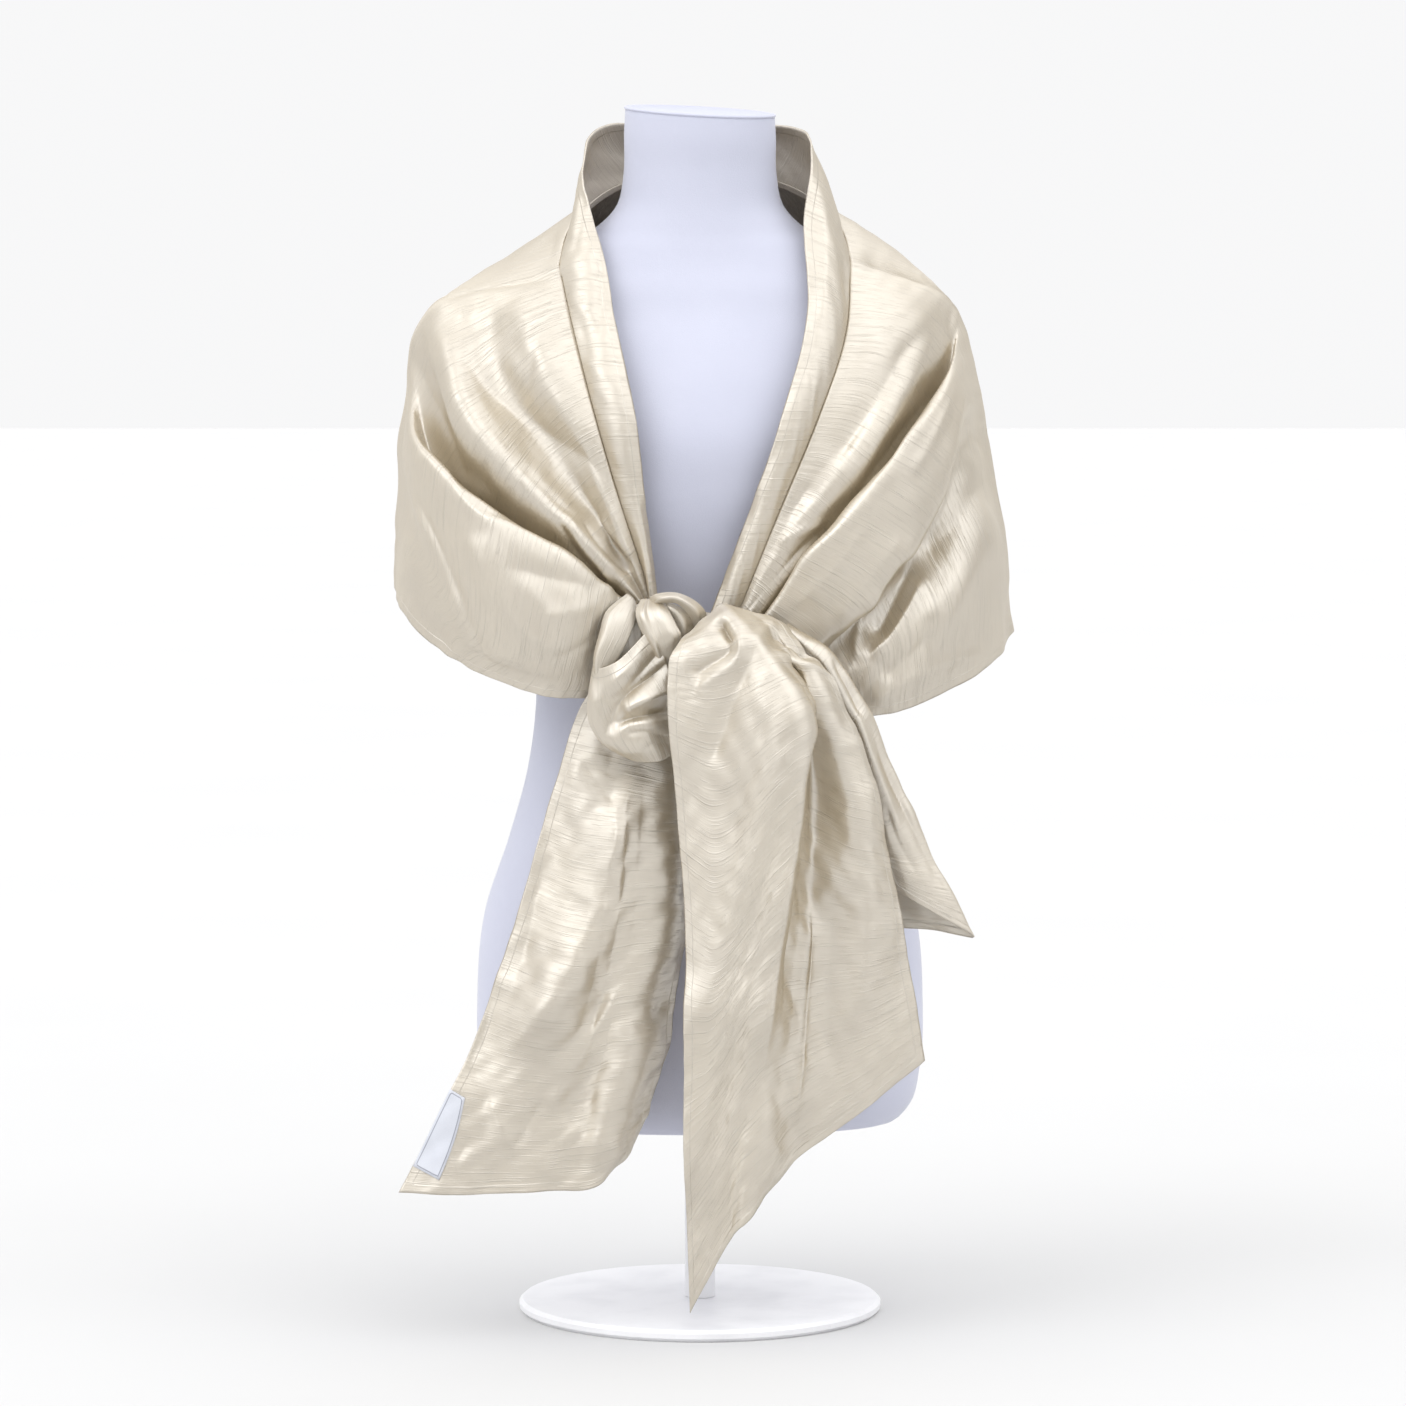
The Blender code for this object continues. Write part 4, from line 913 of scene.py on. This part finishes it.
def floor_material():
    made, tree, shader = shader_of("pale floor")
    place = tree.nodes.new("ShaderNodeTexCoord").outputs["Object"]
    clouds = noise(tree, place, (2, 2, 2), 2.0, (0.3, 0.7))
    tree.links.new(mixed(tree, clouds, (0.64, 0.64, 0.64), (0.63, 0.63, 0.63)), shader.inputs["Base Color"])
    shader.inputs["Roughness"].default_value = 0.9
    return made


def sun(name, source, strength, spread):
    """Even light from the direction of a point, as soft as a lamp that fills spread degrees of the sky."""
    lamp = bpy.data.lights.new(name, "SUN")
    lamp.energy = strength
    lamp.angle = np.radians(spread)
    made = bpy.data.objects.new(name, lamp)
    made.rotation_euler = Vector(source).to_track_quat("Z", "Y").to_euler()
    made.location = source
    bpy.context.scene.collection.objects.link(made)


def set_world():
    """Pale surroundings, white behind the object and brighter from the front left than from the right."""
    world = bpy.data.worlds.new("studio")
    bpy.context.scene.world = world
    world.use_nodes = True
    tree = world.node_tree
    way = tree.nodes.new("ShaderNodeTexCoord").outputs["Generated"]
    apart = tree.nodes.new("ShaderNodeSeparateXYZ")
    tree.links.new(way, apart.inputs["Vector"])
    boxes = []
    for box, given, wanted in ((SOFTBOX_WAY, (0.16, 0.95), (0.03, 1.5)), (SECOND_WAY, (0.60, 0.95), (0, 1.65))):
        towards = tree.nodes.new("ShaderNodeVectorMath")
        towards.operation = "DOT_PRODUCT"
        tree.links.new(way, towards.inputs[0])
        towards.inputs[1].default_value = box
        boxes.append(ranged(tree, towards.outputs["Value"], given, wanted))
    front = joined(tree, "ADD", *boxes)
    behind = ranged(tree, apart.outputs["Y"], (0.0, 0.45), (0, 1))
    strength = tree.nodes.new("ShaderNodeMix")
    tree.links.new(behind, strength.inputs["Factor"])
    tree.links.new(front, strength.inputs["A"])
    strength.inputs["B"].default_value = 0.95
    tree.links.new(strength.outputs["Result"], tree.nodes["Background"].inputs["Strength"])
    tree.nodes["Background"].inputs["Color"].default_value = (0.985, 0.985, 0.99, 1)


def set_stage():
    """The pale floor, soft light, pale surroundings and the camera at the photograph's view."""
    shape = bmesh.new()
    bmesh.ops.create_grid(shape, x_segments=1, y_segments=1, size=40)
    mesh = bpy.data.meshes.new("floor")
    shape.to_mesh(mesh)
    shape.free()
    floor = bpy.data.objects.new("floor", mesh)
    bpy.context.scene.collection.objects.link(floor)
    mesh.materials.append(floor_material())
    sun("key", (-1.9, -1.5, 2.1), 0.7, 40)
    sun("top", (0.4, 0.6, 2.0), 0.4, 50)
    set_world()
    eye, aim = Vector(EYE), Vector(AIM)
    lens = bpy.data.cameras.new("camera")
    lens.sensor_width = 36
    lens.lens = 18 * (aim - eye).length / REACH
    lens.shift_x = SHIFT / PICTURE
    made = bpy.data.objects.new("camera", lens)
    made.location = eye
    made.rotation_euler = (aim - eye).to_track_quat("-Z", "Y").to_euler()
    bpy.context.scene.collection.objects.link(made)
    bpy.context.scene.camera = made
    bpy.context.scene.view_settings.view_transform = "Standard"
    bpy.context.scene.view_settings.look = "None"


def cad_grids():
    """The model's own grids of points, worked out as its source does."""
    left, right = front_net(LEFT_LINES), front_net(RIGHT_LINES)
    along, across = (np.linspace(0, 1, count) for count in FRONT_POINTS)
    gap = FORM_CLEARANCE + SILK / 2
    left_front = clear_of_form(surface(left, along, across), gap)
    right_front = clear_of_form(surface(right, along, across), gap)
    round_back = np.linspace(0.0022, 0.9978, BACK_POINTS[0])
    ribs = back_net(left[-1], right[-1])
    back = clear_of_form(surface(ribs, round_back, np.linspace(0, 1, BACK_POINTS[1])), gap)
    edges = (left_front[:, 0], back[:, 0], right_front[:, 0])
    band = clear_of_form(band_grid(edges, (along, round_back, along)), FORM_CLEARANCE + BAND_SILK / 2)
    turns, heights = np.meshgrid(np.linspace(0, 2 * np.pi, 25), np.linspace(-1, 1, 13), indexing="ij")
    ring = np.sqrt(1 - heights**2)
    core = np.stack([ring * np.cos(turns), ring * np.sin(turns), heights], axis=-1) * KNOT_RADII + KNOT_CENTRE
    wraps = [left_front, right_front, band, core]
    tail_left = in_front_of(piece(TAIL_LEFT, TAIL_LEFT_POINTS), wraps, REST_TAIL_LEFT)
    tail_right = in_front_of(piece(TAIL_RIGHT, TAIL_RIGHT_POINTS), wraps, REST_TAIL_RIGHT, whole=True)
    loop = in_front_of(piece(LOOP, LOOP_POINTS), wraps + [tail_left], REST_LOOP, whole=True)
    laid = wraps + [tail_left, tail_right, loop]
    low = in_front_of(piece(STRAP_LOW, STRAP_POINTS), laid, REST_STRAP_LOW)
    top = in_front_of(piece(STRAP_TOP, STRAP_POINTS), laid + [low], REST_STRAP_TOP)
    front = in_front_of(piece(TAIL_FRONT, TAIL_FRONT_POINTS), laid + [low, top], REST_TAIL_FRONT)
    return {
        "left": left_front, "right": right_front, "back": back, "band": band, "core": core,
        "tail_left": tail_left, "tail_right": tail_right, "loop": loop, "low": low, "top": top, "front": front,
    }


def into_knot(front, reach=0.016, rows=5):
    """The front carried on a little behind the knot, so that its gathered end isn't seen."""
    ahead = front[0] - front[2]
    ahead /= np.linalg.norm(ahead, axis=1)[:, None]
    ahead[:, 1] += 0.35
    towards = np.array(KNOT_CENTRE) - front[0]
    towards /= np.linalg.norm(towards, axis=1)[:, None]
    steps = np.linspace(reach, 0, rows + 1)[:-1, None, None]
    return np.concatenate([front[0] + (0.5 * ahead + 0.5 * towards) * steps, front])


def wrap_grid(cad):
    """The wrap as one cloth: the left front, the back and the right front, joined at the shoulder seams."""
    columns = 168
    spread = np.concatenate([np.linspace(0, 0.62, 62), np.linspace(0.62, 1, 56)[1:]])
    fronts = [smooth_curve(smooth_curve(cad[side], spread).transpose(1, 0, 2), np.linspace(0, 1, columns))
              for side in ("left", "right")]
    left, right = (into_knot(front.transpose(1, 0, 2)) for front in fronts)
    back = smooth_grid(cad["back"], 52, columns)
    seams = (left[-1:] + back[:1]) / 2, (right[-1:] + back[-1:]) / 2
    wrap = np.concatenate([left[:-1], seams[0], back[1:-1], seams[1], right[:-1][::-1]])
    backs = slice(len(left) - 1, len(left) - 1 + len(back))
    return wrap, backs


def laid_wrap(cad):
    wrap, backs = wrap_grid(cad)
    facing = normals(wrap) * np.sign((normals(wrap)[..., :2] * wrap[..., :2]).sum(-1).mean())
    u, v = lengths(wrap, 0), lengths(wrap, 1)
    places = seen(wrap)
    forward = ease_in(-wrap[..., 1], -0.02, 0.03) * in_view(wrap)
    rise = np.where(wrap[..., 0] < 0, fold_rise(places, LEFT_FOLDS), fold_rise(places, RIGHT_FOLDS)) * forward
    count = backs.stop - backs.start
    steps = np.meshgrid(np.linspace(0, 1000, count), np.linspace(0, 1000, wrap.shape[1]), indexing="ij")
    swags = fold_rise(np.stack(steps, -1), BACK_FOLDS)
    rise[backs] += swags * ease_in(np.minimum(steps[0], 1000 - steps[0]), 0, 160)
    soft = 0.0007 * ripples(u, v, 11, (0.16, 0.10)) + 0.00025 * ripples(u, v, 12, (0.05, 0.04))
    from_hem = v.max(1, keepdims=True) - v
    hem = 0.0006 * ripples(u, v * 0, 13, (0.035, 1.0)) * np.exp(-from_hem / 0.008)
    from_ends = np.minimum(u, u.max(0) - u)
    held = ease_in(v, 0.001, 0.012) * ease_in(from_ends, 0, 0.006)
    wrap = wrap + facing * ((rise + soft) * held + hem)[..., None]
    return clear_of_form(wrap, FORM_CLEARANCE * 0.6 + SILK / 2)


def laid_band(cad):
    """The stand-up band, its lower edge tucked behind the wrap's edge as the seam allowance is."""
    band = cad["band"]
    edge = np.concatenate([cad["left"][:, 0], cad["back"][1:-1, 0], cad["right"][::-1, 0]])
    rise = band[:, 0] - edge
    rise /= np.linalg.norm(rise, axis=1)[:, None]
    inward = np.cross(rise, np.gradient(edge, axis=0))
    inward /= np.linalg.norm(inward, axis=1)[:, None]
    inward *= -np.sign((inward[:, :2] * edge[:, :2]).sum())
    tuck = [edge - rise * 0.004 + inward * 0.0020, edge + inward * 0.0016, edge + rise * 0.0012 + inward * 0.0006]
    band = np.concatenate([np.stack(tuck, axis=1), band[:, 1:]], axis=1)
    band = into_knot(into_knot(band, rows=2)[::-1], rows=2)[::-1]
    band = smooth_grid(band, 300, 34)
    u, v = lengths(band, 0), lengths(band, 1)
    facing = normals(band)
    facing *= -np.sign(facing[:40, :, 1].mean())
    rise = fold_rise(seen(band), BAND_FOLDS) * ease_in(-band[..., 1], -0.02, 0.03)
    rise += 0.0006 * ripples(u, v, 21, (0.09, 0.05)) + 0.00025 * ripples(u, v, 22, (0.03, 0.03))
    band = band + facing * (rise * ease_in(v, 0.005, 0.015))[..., None]
    return clear_of_form(band, FORM_CLEARANCE * 0.6 + BAND_SILK / 2)


def laid_piece(grid, size, folds, seed, unevenness, laid, whole=False):
    """A tail, loop or strap: read finely, given its folds, and rested on the cloth laid before it."""
    grid = smooth_grid(grid, *size)
    facing = normals(grid)
    facing *= -np.sign(facing[..., 1].mean())
    u, v = lengths(grid, 0), lengths(grid, 1)
    rise = fold_rise(seen(grid), folds) * in_view(grid)
    soft = 0.0010 * ripples(u, v, seed, (0.13, 0.07)) + 0.0003 * ripples(u, v, seed + 40, (0.035, 0.03))
    grid = grid + facing * (rise + unevenness * soft)[..., None]
    return grid if whole else resting(grid, laid)


def patch(lines, size):
    """A small piece of cloth through lines of pixels and depths."""
    lines = np.array(lines, float)
    return smooth_grid(on_ray(lines[..., :2], lines[..., 2] / 1000), *size)


def label_on(tail):
    """The blank sewn label, which lies on the cloth of the tail."""
    corners = np.array(LABEL_CORNERS, float)
    down, across = np.meshgrid(np.linspace(0, 1, 22), np.linspace(0, 1, 9), indexing="ij")
    down, across = down[..., None], across[..., None]
    left = corners[0] * (1 - down) + corners[3] * down
    right = corners[1] * (1 - down) + corners[2] * down
    places = left * (1 - across) + right * across
    places[..., 0] += 3 * (across * np.sin(np.pi * down))[..., 0]
    found = seen(tail).reshape(-1, 2)
    depths = tail[..., 1].reshape(-1)
    away = ((places.reshape(-1, 1, 2) - found[None]) ** 2).sum(-1)
    nearest = np.argsort(away, axis=1)[:, :6]
    weight = 1 / (np.take_along_axis(away, nearest, 1) + 0.5)
    depth = (depths[nearest] * weight).sum(1) / weight.sum(1)
    return on_ray(places, depth.reshape(places.shape[:2]) - 0.0013)


def knot_heart():
    """The gathered cloth inside the knot, seen in its gaps."""
    turns, heights = np.meshgrid(np.linspace(0, 2 * np.pi, 73), np.linspace(-0.995, 0.995, 37), indexing="ij")
    ring = np.sqrt(1 - heights**2)
    ball = np.stack([ring * np.cos(turns), ring * np.sin(turns), heights], axis=-1)
    pleats = 1 + 0.05 * np.sin(7 * turns + 3 * heights) * ring - 0.05
    return ball * pleats[..., None] * KNOT_RADII + KNOT_CENTRE


def form_cover(material):
    """The padded form under its smooth cover: the model's sections, read finely, with the dish in the neck."""
    rings = [form_ring(*section) for section in form_table(150)]
    rim = FORM_SECTIONS[-1]
    for shrink, drop in ((0.975, -0.0012), (0.94, -0.0014), (0.91, 0.0004), (0.80, 0.0030), (0.55, NECK_DISH)):
        rings.append(form_ring(*rim, shrink=shrink, drop=drop))
    shape = bmesh.new()
    loops = [[shape.verts.new(point) for point in ring] for ring in rings]
    for low, high in zip(loops, loops[1:]):
        for i, point in enumerate(low):
            after = (i + 1) % len(low)
            shape.faces.new([point, low[after], high[after], high[i]])
    shape.faces.new(reversed(loops[0]))
    shape.faces.new(loops[-1])
    mesh = bpy.data.meshes.new("form_cover")
    shape.to_mesh(mesh)
    shape.free()
    mesh.shade_smooth()
    mesh.set_sharp_from_angle(angle=np.radians(50))
    mesh.materials.append(material)
    made = bpy.data.objects.new("form_cover", mesh)
    bpy.context.scene.collection.objects.link(made)
    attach(made, "root")
    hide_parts("form_torso")


def neck_rim(material):
    """The piped rim round the top of the form's neck."""
    turns = np.linspace(0, 2 * np.pi, 73)[:-1]
    section = FORM_SECTIONS[-1]
    y = np.where(np.sin(turns) < 0, section[2], section[3]) * np.sin(turns)
    x = section[1] * np.cos(turns)
    curve = bpy.data.curves.new("neck_rim", "CURVE")
    curve.dimensions = "3D"
    curve.bevel_depth = 0.0011
    curve.bevel_resolution = 3
    line = curve.splines.new("POLY")
    line.points.add(len(turns) - 1)
    for point, place in zip(line.points, zip(x, y, section[0] + NECK_SLANT * y + NECK_TILT * x)):
        point.co = (*place, 1)
    line.use_cyclic_u = True
    made = bpy.data.objects.new("neck_rim", curve)
    bpy.context.scene.collection.objects.link(made)
    curve.materials.append(material)
    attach(made, "root")
    return made


def build():
    cad = cad_grids()
    silk, form, paint, tape = silk_material(), form_material(), stand_material(), tape_material()
    wrap, band = laid_wrap(cad), laid_band(cad)
    laid = [wrap, band, cad["core"]]
    tail_left = laid_piece(cad["tail_left"], (210, 112), TAIL_LEFT_FOLDS, 31, 1.5, laid)
    tail_right = laid_piece(cad["tail_right"], (130, 100), TAIL_RIGHT_FOLDS, 32, 0.8, laid, whole=True)
    loop = laid_piece(cad["loop"], (130, 100), LOOP_FOLDS, 33, 0.4, laid, whole=True)
    laid += [tail_left, tail_right, loop]
    panel, low, inner, top = (patch(lines, (30, 60)) for lines in (LOOP_PANEL, UNDER_ARCH, ARCH, THROAT))
    laid += [panel, low, inner, top]
    peak = cad["front"].copy()
    peak[..., 2] += 0.0056 * ease_in(660 - seen(peak)[..., 1], 0, 50)
    front = laid_piece(peak, (250, 150), TAIL_FRONT_FOLDS, 36, 1.2, laid)
    ends = ("first column", "last column", "last row")
    stole = silk_piece("stole_wrap", wrap, silk, 0.0012, ("last column",))
    collar = silk_piece("neck_band_cloth", band, silk, 0.0015, ("last column",))
    left_end = silk_piece("left_tail", tail_left, silk, 0.0012, ends)
    right_end = silk_piece("right_tail", tail_right, silk, 0.0012, ends)
    bow = silk_piece("loop_of_bow", loop, silk, 0.0012, ("first column",))
    side = silk_piece("loop_panel", panel, silk, 0.0012)
    under = silk_piece("strap_under", low, silk, 0.0012)
    arch = silk_piece("strap_arch", inner, silk, 0.0012)
    over = silk_piece("strap_throat", top, silk, 0.0012)
    front_end = silk_piece("front_tail", front, silk, 0.0012, ends)
    heart = silk_piece("knot_heart", knot_heart(), silk, 0.0006)
    label = silk_piece("blank_label", label_on(tail_left), tape, LABEL_WALL, ("first row", "last row",
                       "first column", "last column"))
    form_cover(form)
    neck_rim(form)
    for made, nodes in ((stole, ("wrap_left_front", "wrap_back", "wrap_right_front")), (collar, ("neck_band",)),
                        (left_end, ("tail_left",)), (right_end, ("tail_right",)), (bow, ("bow_loop",)), (side, ("bow_loop",)),
                        (arch, ("knot_strap_top",)), (under, ("knot_strap_top",)), (over, ("knot_strap_low",)), (front_end, ("tail_front",)),
                        (heart, ("knot_core",)), (label, ("sewn_label",))):
        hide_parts(*nodes)
    for node, material in (("stand_pole", paint), ("stand_base", paint)):
        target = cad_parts[node]
        target.data.materials.clear()
        target.data.materials.append(material)


build()
set_stage()
